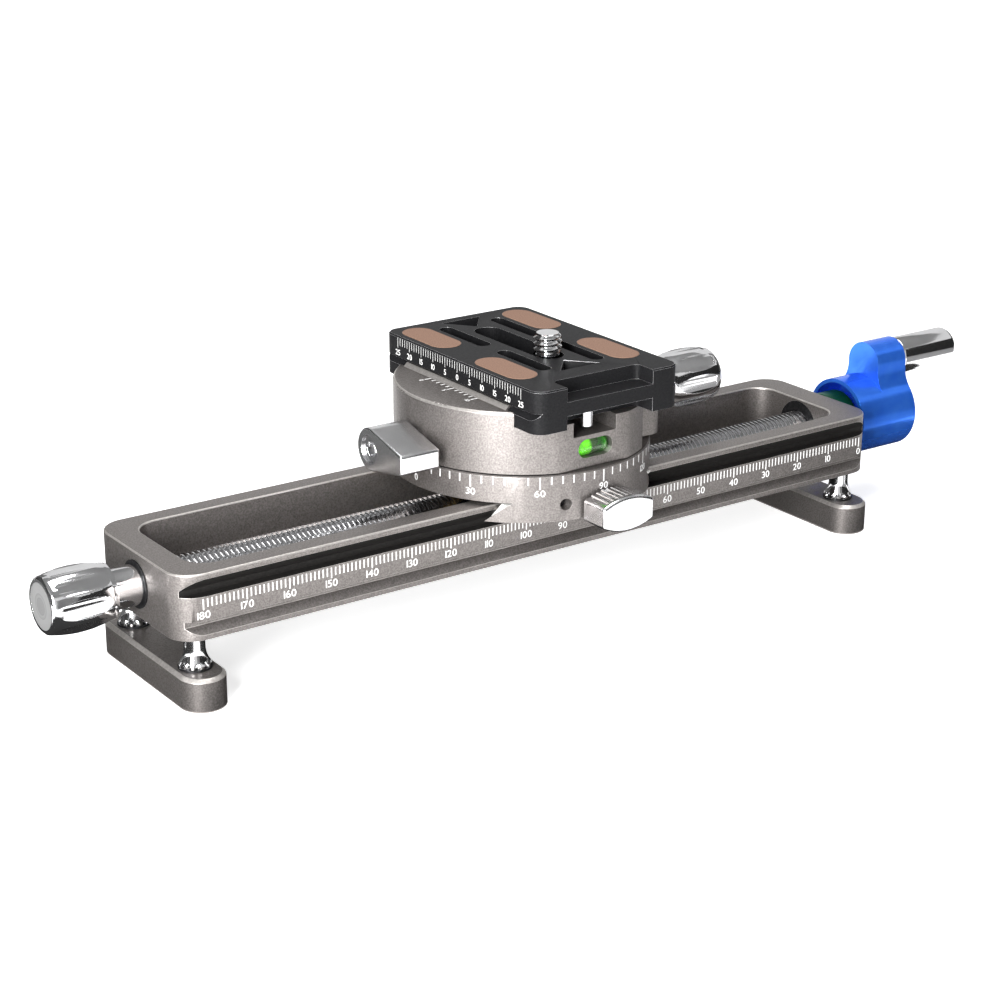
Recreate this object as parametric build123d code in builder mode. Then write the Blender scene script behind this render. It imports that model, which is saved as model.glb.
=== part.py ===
from build123d import *
import math
import os

os.makedirs("parts", exist_ok=True)

# Macro focusing rail. Millimetres, +Z up, +X towards the crank.
# The origin is the middle of the rail's underside, where a tripod screw enters.

# ---- Driving sizes -------------------------------------------------------------

# Rail
rail_length = 190.0
rail_width = 38.0
rail_height = 14.4
rail_corner = 6.0
rail_edge = 0.4
flange_edge = 1.3        # straight edge of the top guide flange
groove_depth = 2.4       # the guide face slopes in this far at 45 degrees
groove_flat = 1.25       # flat bottom of the guide groove, above the scale strip
strip_bottom = 4.1
dovetail_depth = 1.7     # undercut of the tripod dovetail
dovetail_edge = 1.1      # straight edge at the very bottom
floor_thickness = 2.7
side_wall = 4.8
pocket_corner = 5.5
wall_left = 6.2
wall_right = 7.2
tripod_radius = 3.175    # 1/4 inch tripod thread

# Lead screw and its two ends
screw_radius = 4.0
screw_height = 7.25
bush_radius_left = 5.2
bush_radius_right = 6.5
bush_lip = 0.3
collar_radius = 7.0
collar_width = 6.8
collar_chamfer = 0.4

# Turned knobs, used on the screw's left end and on the clamp
knob_length = 14.7
knob_bulge_radius = 6.95
knob_bulge_distance = 7.94
knob_end_radius = 6.1
knob_neck_radius = 4.4
knob_rear_chamfer = 0.2
knob_rear_land = 1.1
knob_front_chamfer = 0.5
knob_cap_radius = 5.0
knob_cap_depth = 1.6
knob_solid_end = 2.0     # metal between the bore and the cap
knob_neck_left = 6.1
knob_neck_clamp = 13.3
scallop_count = 8
scallop_radius = 6.0
scallop_depth = 0.75
scallop_front_land = 0.9

# Crank
hub_radius = 9.9
hub_wall = 1.0
hub_depth = 8.4
boss_wall = 1.6
boss_clearance = 1.0     # turned relief round the boss's end
arm_thickness = 9.6
arm_tip_radius = 5.3
arm_flank_radius = 8.0
crank_throw = 12.9
crank_gap = 5.9          # rail end to hub rim
crank_screw_radius = 2.7
crank_screw_height = 3.0
crank_screw_hex_radius = 1.3
crank_screw_hex_depth = 1.2
grip_radius = 4.85
grip_length = 18.6
grip_round = 1.4
grip_chamfer = 0.5
grip_pin_radius = 2.0
grip_pin_floor = 2.0     # arm left under the pin's blind hole
grip_head_radius = 3.0
grip_head_length = 2.0
grip_plug_length = 2.4

# Levelling feet
foot_inset = 5.6         # rail end to the middle of a foot
foot_width = 10.0
foot_end = 7.8           # foot beyond the levelling screw's axis
foot_height = 7.3
foot_drop = 7.6          # rail underside to the top of the foot
foot_chamfer = 0.7
level_inset = 5.2        # rail side to the levelling screw's axis
level_stem_radius = 2.0
level_stem_length = 8.0
level_neck_radius = 2.3
level_neck_length = 3.5
level_rim_radius = 3.4
level_rim_land = 0.5
level_flare = 0.15       # hollow of the flare between neck and rim
level_pin_radius = 1.6
level_pin_floor = 0.8    # table to the pin's lower end
level_clip_radius = 3.0
level_clip_thickness = 1.0
level_clip_depth = 2.6   # foot underside to the clip's top
level_flutes = 10
level_flute_radius = 0.55
level_flute_circle_radius = 3.5
level_flute_stop = 0.4
foot_washer_radius = 3.6
foot_washer_height = 0.4

# Carriage
pan_x = 2.5
base_overhang = 10.3     # rail side to the round base's edge
base_roof = 6.15
base_edge = 0.25
ceiling_gap = 0.8        # rail top to the carriage's ceiling
lip_space = 1.17         # between the rail's guide face and the carriage's lip
gib_length = 40.0
gib_lift = 0.25          # groove bottom to the gib's lower edge
pad_width = 3.6
pad_length = 36.0
pad_inset = 0.4
nut_length = 18.0
nut_width = 18.0
nut_bottom = 3.3
nut_flange_length = 36.0
nut_flange_height = 2.8
nut_screw_x = 15.0
nut_screw_y = 6.0
nut_screw_radius = 1.5
nut_screw_head_radius = 2.7
nut_screw_head_height = 1.5
nut_screw_length = 6.8
nut_screw_hex_radius = 1.2
nut_screw_hex_depth = 0.9
gib_screw_offset = 8.1   # pan axis to the screw, towards the left
gib_screw_drop = 0.45    # gib top down to the screw's axis
gib_screw_radius = 1.35
gib_screw_length = 3.4
gib_screw_hex_radius = 0.7
gib_screw_hex_depth = 1.2
gib_screw_run = 0.6      # thread cut on past the screw's tip

# Carriage lock
lock_offset = 2.35       # pan axis to the lock screw, towards the right
lock_rise = 2.1          # carriage underside to the lock screw's axis
lock_stand = 0.6         # round base to the knob's back
lock_length = 7.2
lock_width = 13.8
lock_middle = 8.0
lock_end = 4.5
lock_side_round = 0.8
lock_face_round = 0.7
lock_neck_radius = 2.8
lock_screw_radius = 1.5
lock_screw_grip = 3.0    # screw inside the knob
lock_screw_air = 1.5     # blind hole past the screw's axis line on the lip
lock_ridges = 9
lock_ridge_radius = 0.45
lock_ridge_lift = 0.15   # ridge cutter's axis outside the knob's side
lock_ridge_land = 1.0
lock_ridge_margin = 3.0

# Panning clamp
pan_gap = 0.3
clamp_step = 0.4         # clamp is this much smaller than the base, in radius
clamp_floor = 10.65      # clamp underside to the plate's seat
fixed_jaw_height = 3.3   # above the seat
clamp_fillet = 0.8
facet_depth = 1.5
spigot_radius = 10.0
keeper_radius = 12.5
keeper_thickness = 1.8
keeper_screw_count = 3
keeper_circle_radius = 6.0
keeper_screw_radius = 1.25
keeper_screw_head_radius = 2.3
keeper_screw_head_height = 1.1
keeper_screw_length = 6.5
notch_width = 11.6
notch_depth = 3.4        # below the seat
notch_reach = 15.5       # inner end of the stop notches from the pan axis
vial_offset = 0.25       # pan axis to the vial's middle
vial_rise = 4.2          # clamp underside to the vial's axis
vial_window_width = 9.2
vial_window_height = 4.2
vial_radius = 1.95
vial_wall = 0.4
vial_length = 8.8
vial_sink = 0.15         # flat front to the glass
vial_room = 0.2          # window deeper than the glass
bubble_length = 3.0
bubble_radius = 0.85
bubble_skin = 0.15

# Pan lock lever
lever_width = 10.0
lever_y = 0.2
lever_rise = 3.65        # clamp underside to the lever's axis
lever_head_radius = 4.9
lever_reach = 12.7       # lever's axis to its blunt tip
lever_tip_top = 2.0      # tip's upper and lower faces above and below the axis
lever_tip_drop = 2.7
lever_tip_round = 0.8
lever_edge = 0.5
lever_screw_radius = 3.2
lever_screw_length = 5.0
lever_screw_sink = 0.6
lever_screw_hex = 3.4    # across the flats
lever_screw_hex_depth = 2.0
spindle_radius = 2.5
spindle_reach = 15.4     # pan axis to the spindle's nose
spindle_cone = 2.1
spindle_collar_radius = 3.5
spindle_collar_width = 1.3
brake_pin_radius = 1.6
brake_pin_ahead = 0.3    # pin's axis beyond the spindle's nose

# Clamp jaw
jaw_foot = 4.6           # jaw under the plate
jaw_wall = 5.3           # jaw outside the plate
jaw_width = 37.0
jaw_lift = 0.25          # clamp underside to the jaw's underside
jaw_height = 3.7         # above the seat
jaw_corner = 3.0
jaw_fillet = 0.6
jaw_play = 0.6           # closed gap between jaw and clamp body
hook_height = 4.2        # above the seat
hook_flat = 0.7
hook_root = 1.0
hook_inset = 0.5
clamp_axis_rise = 4.95   # clamp underside to the clamp screw's axis
clamp_screw_radius = 3.0
clamp_screw_reach = 15.0 # screw in the clamp body
clamp_bore_run = 1.0
guide_pin_y = 12.0
guide_pin_radius = 1.5
guide_pin_reach = 11.0
guide_pin_grip = 6.0
spring_radius = 2.6
spring_length = 5.9
spring_air = 0.4

# Quick release plate
plate_offset = 1.5       # pan axis to the plate's middle
plate_y = -0.8
plate_width = 39.0
plate_length = 60.0
plate_thickness = 9.5
plate_corner = 3.2
plate_flange_edge = 2.9  # plate underside to the top of the dovetail's edge
plate_groove_depth = 1.7
plate_edge = 0.3
pad_stadium_width = 7.4
pad_stadium_length = 18.2
pad_recess = 0.8
pad_stand = 0.1
pad_side_inset = 5.5     # plate side to a pad's middle
pad_back_y = 18.4
pad_front_y = -10.8
lightening_width = 3.4
lightening_length = 18.0
lightening_x = 7.2
lightening_back_y = 15.0
lightening_front_y = -8.0
slot_width = 6.6
slot_front_y = -11.0
slot_back_y = 19.0
channel_width = 12.0
channel_depth = 4.2
channel_front_y = -13.5
channel_back_y = 21.0
triangle_half = 5.3
triangle_depth = 4.0
triangle_back = 27.2
triangle_back_tip = 20.5
triangle_front = -19.0
triangle_front_tip = -13.0
mouth_half = 11.6
mouth_depth = 5.6
mouth_corner = 1.5
web_low = 3.1            # web's faces above the plate's underside
web_high = 6.25
stop_x = 3.6
stop_inset = 3.8         # plate end to a stop screw's axis
stop_radius = 1.4
stop_drop = 1.2          # stop screw below the plate
stop_depth = 4.4         # stop screw in the plate

# Camera screw
camera_screw_y = -7.0
camera_screw_radius = 3.175
camera_shank_radius = 2.6  # relieved below the thread, in the plate's slot
camera_screw_stand = 5.0
camera_screw_chamfer = 0.5
camera_screw_head_radius = 5.4
camera_screw_head_height = 3.0
camera_screw_slot = 1.2
camera_screw_slot_depth = 1.4
washer_outer_radius = 5.5
washer_thickness = 0.4

# Fits and running gaps
running_fit = 0.05       # radial, shafts that turn or slide in their bores
slide_fit = 0.03         # guide faces that slide on each other
thrust_gap = 0.1         # faces that turn against each other
body_gap = 0.3           # free gap between moving pieces
seat_gap = 0.1           # plate in its clamp
overcut = 1.0            # how far a cutter runs past the face that it cuts

# ---- Sizes worked out from the driving ones --------------------------------------

slant = math.sqrt(2)     # a distance square to a 45 degree face, seen along Y or Z

# Rail
half_length = rail_length / 2
half_width = rail_width / 2
flange_bottom = rail_height - flange_edge
groove_top = flange_bottom - groove_depth
strip_top = groove_top - groove_flat
pocket_width = rail_width - 2 * side_wall
pocket_left = -half_length + wall_left
pocket_right = half_length - wall_right
pocket_length = pocket_right - pocket_left
pocket_x = (pocket_left + pocket_right) / 2
foot_pitch = rail_length - 2 * foot_inset
level_pitch = rail_width - 2 * level_inset
foot_top = -foot_drop
foot_bottom = foot_top - foot_height

# Lead screw, left knob and crank
hub_rim_x = half_length + crank_gap
arm_front_x = hub_rim_x + hub_depth
arm_back_x = arm_front_x + arm_thickness
grip_height = screw_height + crank_throw
knob_inner_left = -half_length - bush_lip - thrust_gap - knob_neck_left

# Carriage and its lock
ceiling = rail_height + ceiling_gap
seam_height = ceiling + base_roof
base_bottom = groove_top
base_radius = half_width + base_overhang
guide_line = half_width - flange_bottom          # y minus z on the rail's guide face
lip_line = guide_line + lip_space * slant        # y minus z on the carriage's lip
gib_inner = guide_line + slide_fit * slant
gib_outer = lip_line - slide_fit * slant
gib_bottom = groove_top + gib_lift
gib_top = ceiling - body_gap
gib_screw_x = pan_x - gib_screw_offset
gib_screw_height = gib_top - gib_screw_drop
lock_x = pan_x + lock_offset
lock_height = base_bottom + lock_rise
lock_back = base_radius + lock_stand
lock_front = lock_back + lock_length

# Panning clamp
clamp_bottom = seam_height + pan_gap
clamp_radius = base_radius - clamp_step
facet_distance = clamp_radius - facet_depth
seat_height = clamp_bottom + clamp_floor
clamp_top = seat_height + fixed_jaw_height
notch_floor = seat_height - notch_depth
keeper_bottom = ceiling + body_gap
spigot_bottom = keeper_bottom + keeper_thickness
vial_x = pan_x + vial_offset
vial_height = clamp_bottom + vial_rise
clamp_axis_height = clamp_bottom + clamp_axis_rise

# Pan lock lever
lever_inner_x = pan_x - clamp_radius - body_gap - spindle_collar_width
lever_outer_x = lever_inner_x - lever_width
lever_height = clamp_bottom + lever_rise
lever_tip_y = lever_y - lever_reach + lever_tip_round
spindle_end_x = pan_x - spindle_reach
brake_x = spindle_end_x - brake_pin_ahead

# Plate, and the jaws that hold it
plate_x = pan_x + plate_offset
plate_half = plate_width / 2
plate_bottom = seat_height + seat_gap
plate_flange_top = plate_bottom + plate_flange_edge
plate_groove_top = plate_flange_top + plate_groove_depth
plate_top = plate_bottom + plate_thickness
plate_front = plate_y - plate_length / 2
plate_back = plate_y + plate_length / 2
channel_ceiling = plate_bottom + channel_depth
wall_offset = plate_half + seat_gap
hook_line = plate_half + plate_flange_top + seat_gap * slant
hook_top = seat_height + hook_height
jaw_wall_x = plate_x + wall_offset
jaw_inner_x = jaw_wall_x - jaw_foot
jaw_outer_x = jaw_wall_x + jaw_wall
jaw_bottom = clamp_bottom + jaw_lift
jaw_top = seat_height + jaw_height
clamp_cut_x = jaw_inner_x - jaw_play
clamp_screw_tip_x = jaw_inner_x - clamp_screw_reach
guide_pin_tip_x = jaw_inner_x - guide_pin_reach
knob_inner_clamp = jaw_outer_x + body_gap + knob_neck_clamp

base_centre = (Align.CENTER, Align.CENTER, Align.MIN)
top_centre = (Align.CENTER, Align.CENTER, Align.MAX)


def facing_x(x, y, z):
    """Plane at a point, looking along +X."""
    return Plane(origin=(x, y, z), x_dir=(0, 1, 0), z_dir=(1, 0, 0))


def facing_y(x, y, z):
    """Plane at a point, looking along +Y."""
    return Plane(origin=(x, y, z), x_dir=(-1, 0, 0), z_dir=(0, 1, 0))


def facing_minus_y(x, y, z):
    """Plane at a point, looking along -Y, with +X to its right and +Z up."""
    return Plane(origin=(x, y, z), x_dir=(1, 0, 0), z_dir=(0, -1, 0))


def facing_z(x, y, z):
    """Plane at a point, looking along +Z."""
    return Plane(origin=(x, y, z), x_dir=(1, 0, 0), z_dir=(0, 0, 1))


def save(piece, label):
    """Label a finished piece and write it."""
    piece.part.label = label
    export_step(piece.part, f"parts/{label}.step")


# ---- Rail --------------------------------------------------------------------------

# Long milled bar: guide flange on top, scale strip in the middle, dovetail below,
# and a deep pocket for the lead screw.
outside = half_width + overcut
guide_groove = [
    (outside, flange_bottom),
    (half_width, flange_bottom),
    (half_width - groove_depth, groove_top),
    (half_width - groove_depth, strip_top),
    (outside, strip_top),
]
tripod_dovetail = [
    (outside, strip_bottom),
    (half_width - dovetail_depth, strip_bottom),
    (half_width - dovetail_depth, dovetail_edge + dovetail_depth),
    (half_width, dovetail_edge),
    (outside, dovetail_edge),
]
level_spots = [
    (side * foot_pitch / 2, end * level_pitch / 2) for side in (-1, 1) for end in (-1, 1)
]

with BuildPart() as rail_body:
    with BuildSketch():
        RectangleRounded(rail_length, rail_width, rail_corner)
    extrude(amount=rail_height)
    with BuildSketch(Plane.XY.offset(floor_thickness)):
        with Locations((pocket_x, 0)):
            RectangleRounded(pocket_length, pocket_width, pocket_corner)
    extrude(amount=rail_height, mode=Mode.SUBTRACT)
    fillet(rail_body.faces().sort_by(Axis.Z)[-1].edges(), radius=rail_edge)
    for profile in (guide_groove, tripod_dovetail):
        with BuildSketch(Plane.YZ.offset(-half_length - overcut)):
            with BuildLine():
                Polyline(*profile, close=True)
            make_face()
            mirror(about=Plane.YZ)
        extrude(amount=rail_length + 2 * overcut, mode=Mode.SUBTRACT)
    with Locations(facing_x(-half_length, 0, screw_height)):
        Cylinder(bush_radius_left, wall_left, align=base_centre, mode=Mode.SUBTRACT)
    with Locations(facing_x(pocket_right, 0, screw_height)):
        Cylinder(bush_radius_right, wall_right, align=base_centre, mode=Mode.SUBTRACT)
    with Locations(*[facing_z(x, y, 0) for x, y in level_spots]):
        Cylinder(level_stem_radius + running_fit, level_stem_length + body_gap,
                 align=base_centre, mode=Mode.SUBTRACT)
    Cylinder(tripod_radius, floor_thickness, align=base_centre, mode=Mode.SUBTRACT)
save(rail_body, "rail_body")

# Plain bearing bushes pressed into the two end walls; the left one has a low lip.
with BuildPart() as left_bush:
    with Locations(facing_x(-half_length - bush_lip, 0, screw_height)):
        Cylinder(bush_radius_left, wall_left + bush_lip, align=base_centre)
        Cylinder(screw_radius + running_fit, wall_left + bush_lip,
                 align=base_centre, mode=Mode.SUBTRACT)
save(left_bush, "left_bush")

with BuildPart() as right_bush:
    with Locations(facing_x(pocket_right, 0, screw_height)):
        Cylinder(bush_radius_right, wall_right, align=base_centre)
        Cylinder(screw_radius + running_fit, wall_right,
                 align=base_centre, mode=Mode.SUBTRACT)
save(right_bush, "right_bush")

# ---- Lead screw, knob and crank ------------------------------------------------------

screw_left_x = knob_inner_left - knob_length + knob_cap_depth + knob_solid_end
screw_right_x = arm_back_x - crank_screw_height

with BuildPart() as lead_screw:
    with Locations(facing_x(screw_left_x, 0, screw_height)):
        Cylinder(screw_radius, screw_right_x - screw_left_x, align=base_centre)
save(lead_screw, "lead_screw")

# Thrust collar between the rail's end and the crank's cup.
with BuildPart() as thrust_collar:
    with Locations(facing_x(half_length + thrust_gap, 0, screw_height)):
        Cylinder(collar_radius, collar_width, align=base_centre)
        Cylinder(screw_radius, collar_width, align=base_centre, mode=Mode.SUBTRACT)
    rims = thrust_collar.edges().filter_by(GeomType.CIRCLE).sort_by(SortBy.RADIUS)[-2:]
    chamfer(rims, length=collar_chamfer)
save(thrust_collar, "thrust_collar")


def turned_knob(inner_x, outward, axis_z, neck_length, bore):
    """Barrel knob: neck, rear flange, bulged grip with scallops, recessed end."""
    side = Plane(origin=(inner_x, 0, axis_z), x_dir=(outward, 0, 0), z_dir=(0, -outward, 0))
    end = Plane(origin=(inner_x, 0, axis_z), x_dir=(0, 1, 0), z_dir=(outward, 0, 0))
    cap_seat = knob_length - knob_cap_depth
    with BuildPart() as knob:
        with BuildSketch(side):
            with BuildLine():
                Polyline((-neck_length, 0), (-neck_length, knob_neck_radius),
                         (0, knob_neck_radius), (knob_rear_chamfer, knob_end_radius),
                         (knob_rear_land, knob_end_radius))
                ThreePointArc((knob_rear_land, knob_end_radius),
                              (knob_bulge_distance, knob_bulge_radius),
                              (knob_length - knob_front_chamfer, knob_end_radius))
                Polyline((knob_length - knob_front_chamfer, knob_end_radius),
                         (knob_length, knob_end_radius - knob_front_chamfer),
                         (knob_length, 0), (-neck_length, 0))
            make_face()
        revolve(axis=Axis((inner_x, 0, axis_z), (1, 0, 0)))
        with Locations(end):
            with PolarLocations(knob_bulge_radius + scallop_radius - scallop_depth,
                                scallop_count):
                Cylinder(scallop_radius, knob_length - knob_rear_land - scallop_front_land,
                         align=base_centre, mode=Mode.SUBTRACT)
        with Locations(end.offset(cap_seat)):
            Cylinder(knob_cap_radius, knob_cap_depth, align=base_centre, mode=Mode.SUBTRACT)
        with Locations(end.offset(-neck_length)):
            Cylinder(bore, neck_length + cap_seat - knob_solid_end,
                     align=base_centre, mode=Mode.SUBTRACT)
    return knob


def knob_cap(inner_x, outward, axis_z):
    """Flat disc pressed into the knob's end."""
    end = Plane(origin=(inner_x, 0, axis_z), x_dir=(0, 1, 0), z_dir=(outward, 0, 0))
    with BuildPart() as cap:
        with Locations(end.offset(knob_length - knob_cap_depth)):
            Cylinder(knob_cap_radius, knob_cap_depth, align=base_centre)
    return cap


left_knob = turned_knob(knob_inner_left, -1, screw_height, knob_neck_left, screw_radius)
save(left_knob, "left_knob")
left_knob_cap = knob_cap(knob_inner_left, -1, screw_height)
save(left_knob_cap, "left_knob_cap")

# Crank: an open cup over the collar and a pear-shaped arm. The flanks are arcs that
# touch both lobes from outside.
flank_a = hub_radius + arm_flank_radius
flank_b = arm_tip_radius + arm_flank_radius
flank_along = (flank_a**2 - flank_b**2 + crank_throw**2) / (2 * crank_throw)
flank_across = math.sqrt(flank_a**2 - flank_along**2)
flank_z = screw_height + flank_along
boss_radius = screw_radius + boss_wall
collar_end_x = half_length + thrust_gap + collar_width
grip_pin_start_x = arm_front_x + grip_pin_floor

with BuildPart() as crank_arm:
    with BuildSketch(Plane.YZ.offset(arm_front_x)):
        with BuildLine():
            Polyline((0, screw_height), (flank_across, flank_z), (0, grip_height),
                     (-flank_across, flank_z), close=True)
        make_face()
        with Locations((flank_across, flank_z), (-flank_across, flank_z)):
            Circle(arm_flank_radius, mode=Mode.SUBTRACT)
        with Locations((0, screw_height)):
            Circle(hub_radius)
        with Locations((0, grip_height)):
            Circle(arm_tip_radius)
    extrude(amount=arm_thickness)
    with BuildSketch(Plane.YZ.offset(hub_rim_x)):
        with Locations((0, screw_height)):
            Circle(hub_radius)
            Circle(hub_radius - hub_wall, mode=Mode.SUBTRACT)
            Circle(boss_radius)
    extrude(amount=hub_depth)
    with Locations(facing_x(collar_end_x, 0, screw_height)):
        Cylinder(boss_radius + boss_clearance, collar_end_x - hub_rim_x + overcut,
                 align=top_centre, mode=Mode.SUBTRACT)
    with Locations(facing_x(hub_rim_x, 0, screw_height)):
        Cylinder(screw_radius, screw_right_x - hub_rim_x, align=base_centre, mode=Mode.SUBTRACT)
    with Locations(facing_x(arm_back_x, 0, screw_height)):
        Cylinder(crank_screw_radius, crank_screw_height, align=top_centre,
                 mode=Mode.SUBTRACT)
    with Locations(facing_x(grip_pin_start_x, 0, grip_height)):
        Cylinder(grip_pin_radius, arm_thickness, align=base_centre, mode=Mode.SUBTRACT)
save(crank_arm, "crank_arm")

# Cap screw that draws the crank onto the lead screw's end.
with BuildPart() as crank_screw:
    with Locations(facing_x(screw_right_x, 0, screw_height)):
        Cylinder(crank_screw_radius, crank_screw_height, align=base_centre)
    with Locations(facing_x(arm_back_x, 0, screw_height)):
        Cylinder(crank_screw_hex_radius, crank_screw_hex_depth, align=top_centre,
                 mode=Mode.SUBTRACT)
save(crank_screw, "crank_screw")

# Turning grip on a headed pin, closed by a plug.
grip_start_x = arm_back_x + body_gap
grip_end_x = grip_start_x + grip_length
plug_x = grip_end_x - grip_plug_length
head_x = plug_x - thrust_gap - grip_head_length

with BuildPart() as handle_pin:
    with Locations(facing_x(grip_pin_start_x, 0, grip_height)):
        Cylinder(grip_pin_radius, head_x - grip_pin_start_x, align=base_centre)
    with Locations(facing_x(head_x, 0, grip_height)):
        Cylinder(grip_head_radius, grip_head_length, align=base_centre)
save(handle_pin, "handle_pin")

with BuildPart() as crank_handle:
    with Locations(facing_x(grip_start_x, 0, grip_height)):
        Cylinder(grip_radius, grip_length, align=base_centre)
    fillet(crank_handle.faces().sort_by(Axis.X)[-1].edges(), radius=grip_round)
    chamfer(crank_handle.faces().sort_by(Axis.X)[0].edges(), length=grip_chamfer)
    with Locations(facing_x(grip_start_x, 0, grip_height)):
        Cylinder(grip_pin_radius + running_fit, grip_length, align=base_centre,
                 mode=Mode.SUBTRACT)
    with Locations(facing_x(head_x - thrust_gap, 0, grip_height)):
        Cylinder(grip_head_radius + running_fit, grip_end_x - head_x + thrust_gap,
                 align=base_centre, mode=Mode.SUBTRACT)
save(crank_handle, "crank_handle")

with BuildPart() as handle_plug:
    with Locations(facing_x(plug_x, 0, grip_height)):
        Cylinder(grip_head_radius + running_fit, grip_plug_length, align=base_centre)
save(handle_plug, "handle_plug")

# ---- Levelling feet ------------------------------------------------------------------

neck_bottom = -level_neck_length
rim_bottom = foot_top + foot_washer_height + thrust_gap
rim_top = rim_bottom + level_rim_land
clip_top = foot_bottom + level_clip_depth
pin_bottom = foot_bottom + level_pin_floor
foot_length = level_pitch + 2 * foot_end

for side, side_name in ((-1, "left"), (1, "right")):
    foot_x = side * foot_pitch / 2
    foot_spots = [(foot_x, end * level_pitch / 2) for end in (-1, 1)]

    # Cross bar that stands on the table.
    with BuildPart() as foot_bar:
        with BuildSketch(Plane.XY.offset(foot_bottom)):
            with Locations((foot_x, 0)):
                SlotOverall(foot_length, foot_width, rotation=90)
        extrude(amount=foot_height)
        chamfer(foot_bar.faces().sort_by(Axis.Z)[-1].edges(), length=foot_chamfer)
        with Locations(*[facing_z(x, y, foot_bottom) for x, y in foot_spots]):
            Cylinder(level_pin_radius + running_fit, foot_height, align=base_centre,
                     mode=Mode.SUBTRACT)
            Cylinder(level_clip_radius + body_gap, level_clip_depth + thrust_gap,
                     align=base_centre, mode=Mode.SUBTRACT)
    save(foot_bar, f"foot_bar_{side_name}")

    # Dark thrust washers under the screws' toothed rims.
    with BuildPart() as foot_washers:
        with Locations(*[facing_z(x, y, foot_top) for x, y in foot_spots]):
            Cylinder(foot_washer_radius, foot_washer_height, align=base_centre)
            Cylinder(level_pin_radius + running_fit, foot_washer_height,
                     align=base_centre, mode=Mode.SUBTRACT)
    save(foot_washers, f"foot_washers_{side_name}")

    for (x, y), end_name in zip(foot_spots, ("front", "rear")):
        # Levelling screw: threaded stem, slim neck flaring to a toothed rim, lower pin.
        with BuildPart() as level_screw:
            with BuildSketch(facing_minus_y(x, y, 0)):
                with BuildLine():
                    Polyline((0, level_stem_length), (level_stem_radius, level_stem_length),
                             (level_stem_radius, -body_gap), (level_neck_radius, -body_gap),
                             (level_neck_radius, neck_bottom))
                    ThreePointArc((level_neck_radius, neck_bottom),
                                  ((level_neck_radius + level_rim_radius) / 2 - level_flare,
                                   (neck_bottom + rim_bottom) / 2),
                                  (level_rim_radius, rim_top))
                    Polyline((level_rim_radius, rim_top), (level_rim_radius, rim_bottom),
                             (level_pin_radius, rim_bottom), (level_pin_radius, pin_bottom),
                             (0, pin_bottom), (0, level_stem_length))
                make_face()
            revolve(axis=Axis((x, y, 0), (0, 0, 1)))
            with Locations(facing_z(x, y, rim_bottom)):
                with PolarLocations(level_flute_circle_radius, level_flutes):
                    Cylinder(level_flute_radius, neck_bottom - rim_bottom - level_flute_stop,
                             align=base_centre, mode=Mode.SUBTRACT)
        save(level_screw, f"level_screw_{side_name}_{end_name}")

        # Retaining clip on the pin, inside the foot.
        with BuildPart() as level_clip_ring:
            with Locations(facing_z(x, y, clip_top)):
                Cylinder(level_clip_radius, level_clip_thickness, align=top_centre)
                Cylinder(level_pin_radius, level_clip_thickness, align=top_centre,
                         mode=Mode.SUBTRACT)
        save(level_clip_ring, f"level_clip_{side_name}_{end_name}")

# ---- Carriage --------------------------------------------------------------------------

channel = [
    (ceiling + lip_line, ceiling),
    (base_bottom + lip_line - overcut, base_bottom - overcut),
    (0, base_bottom - overcut),
    (0, ceiling),
]
nut_flange_bottom = ceiling - nut_flange_height
nut_spots = [
    (pan_x + i * nut_screw_x, j * nut_screw_y) for i in (-1, 1) for j in (-1, 1)
]
gib_screw_tip = gib_top + gib_outer + slide_fit
lock_tip = lock_height + lock_screw_radius + lip_line + thrust_gap
lock_hole_end = lock_tip - lock_screw_air

# Round base that rides on the rail. Its two lips reach under the guide flanges.
with BuildPart() as carriage_base:
    with BuildSketch(Plane.XY.offset(base_bottom)):
        with Locations((pan_x, 0)):
            Circle(base_radius)
    extrude(amount=seam_height - base_bottom)
    chamfer(carriage_base.faces().sort_by(Axis.Z)[-1].edges(), length=base_edge)
    with BuildSketch(Plane.YZ.offset(pan_x - base_radius - overcut)):
        with BuildLine():
            Polyline(*channel, close=True)
        make_face()
        mirror(about=Plane.YZ)
    extrude(amount=2 * (base_radius + overcut), mode=Mode.SUBTRACT)
    with Locations(facing_z(pan_x, 0, ceiling)):
        Cylinder(spigot_radius + running_fit, seam_height - ceiling,
                 align=base_centre, mode=Mode.SUBTRACT)
        Cylinder(keeper_radius + body_gap, spigot_bottom + thrust_gap - ceiling,
                 align=base_centre, mode=Mode.SUBTRACT)
    with Locations(*[facing_z(x, y, ceiling) for x, y in nut_spots]):
        Cylinder(nut_screw_radius, nut_screw_length - nut_flange_height,
                 align=base_centre, mode=Mode.SUBTRACT)
    with Locations(facing_y(lock_x, -base_radius, lock_height)):
        Cylinder(lock_screw_radius + running_fit, base_radius - lock_hole_end,
                 align=base_centre, mode=Mode.SUBTRACT)
    with Locations(facing_y(gib_screw_x, -base_radius, gib_screw_height)):
        Cylinder(gib_screw_radius, base_radius - gib_screw_tip + gib_screw_run,
                 align=base_centre, mode=Mode.SUBTRACT)
save(carriage_base, "carriage_base")

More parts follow.
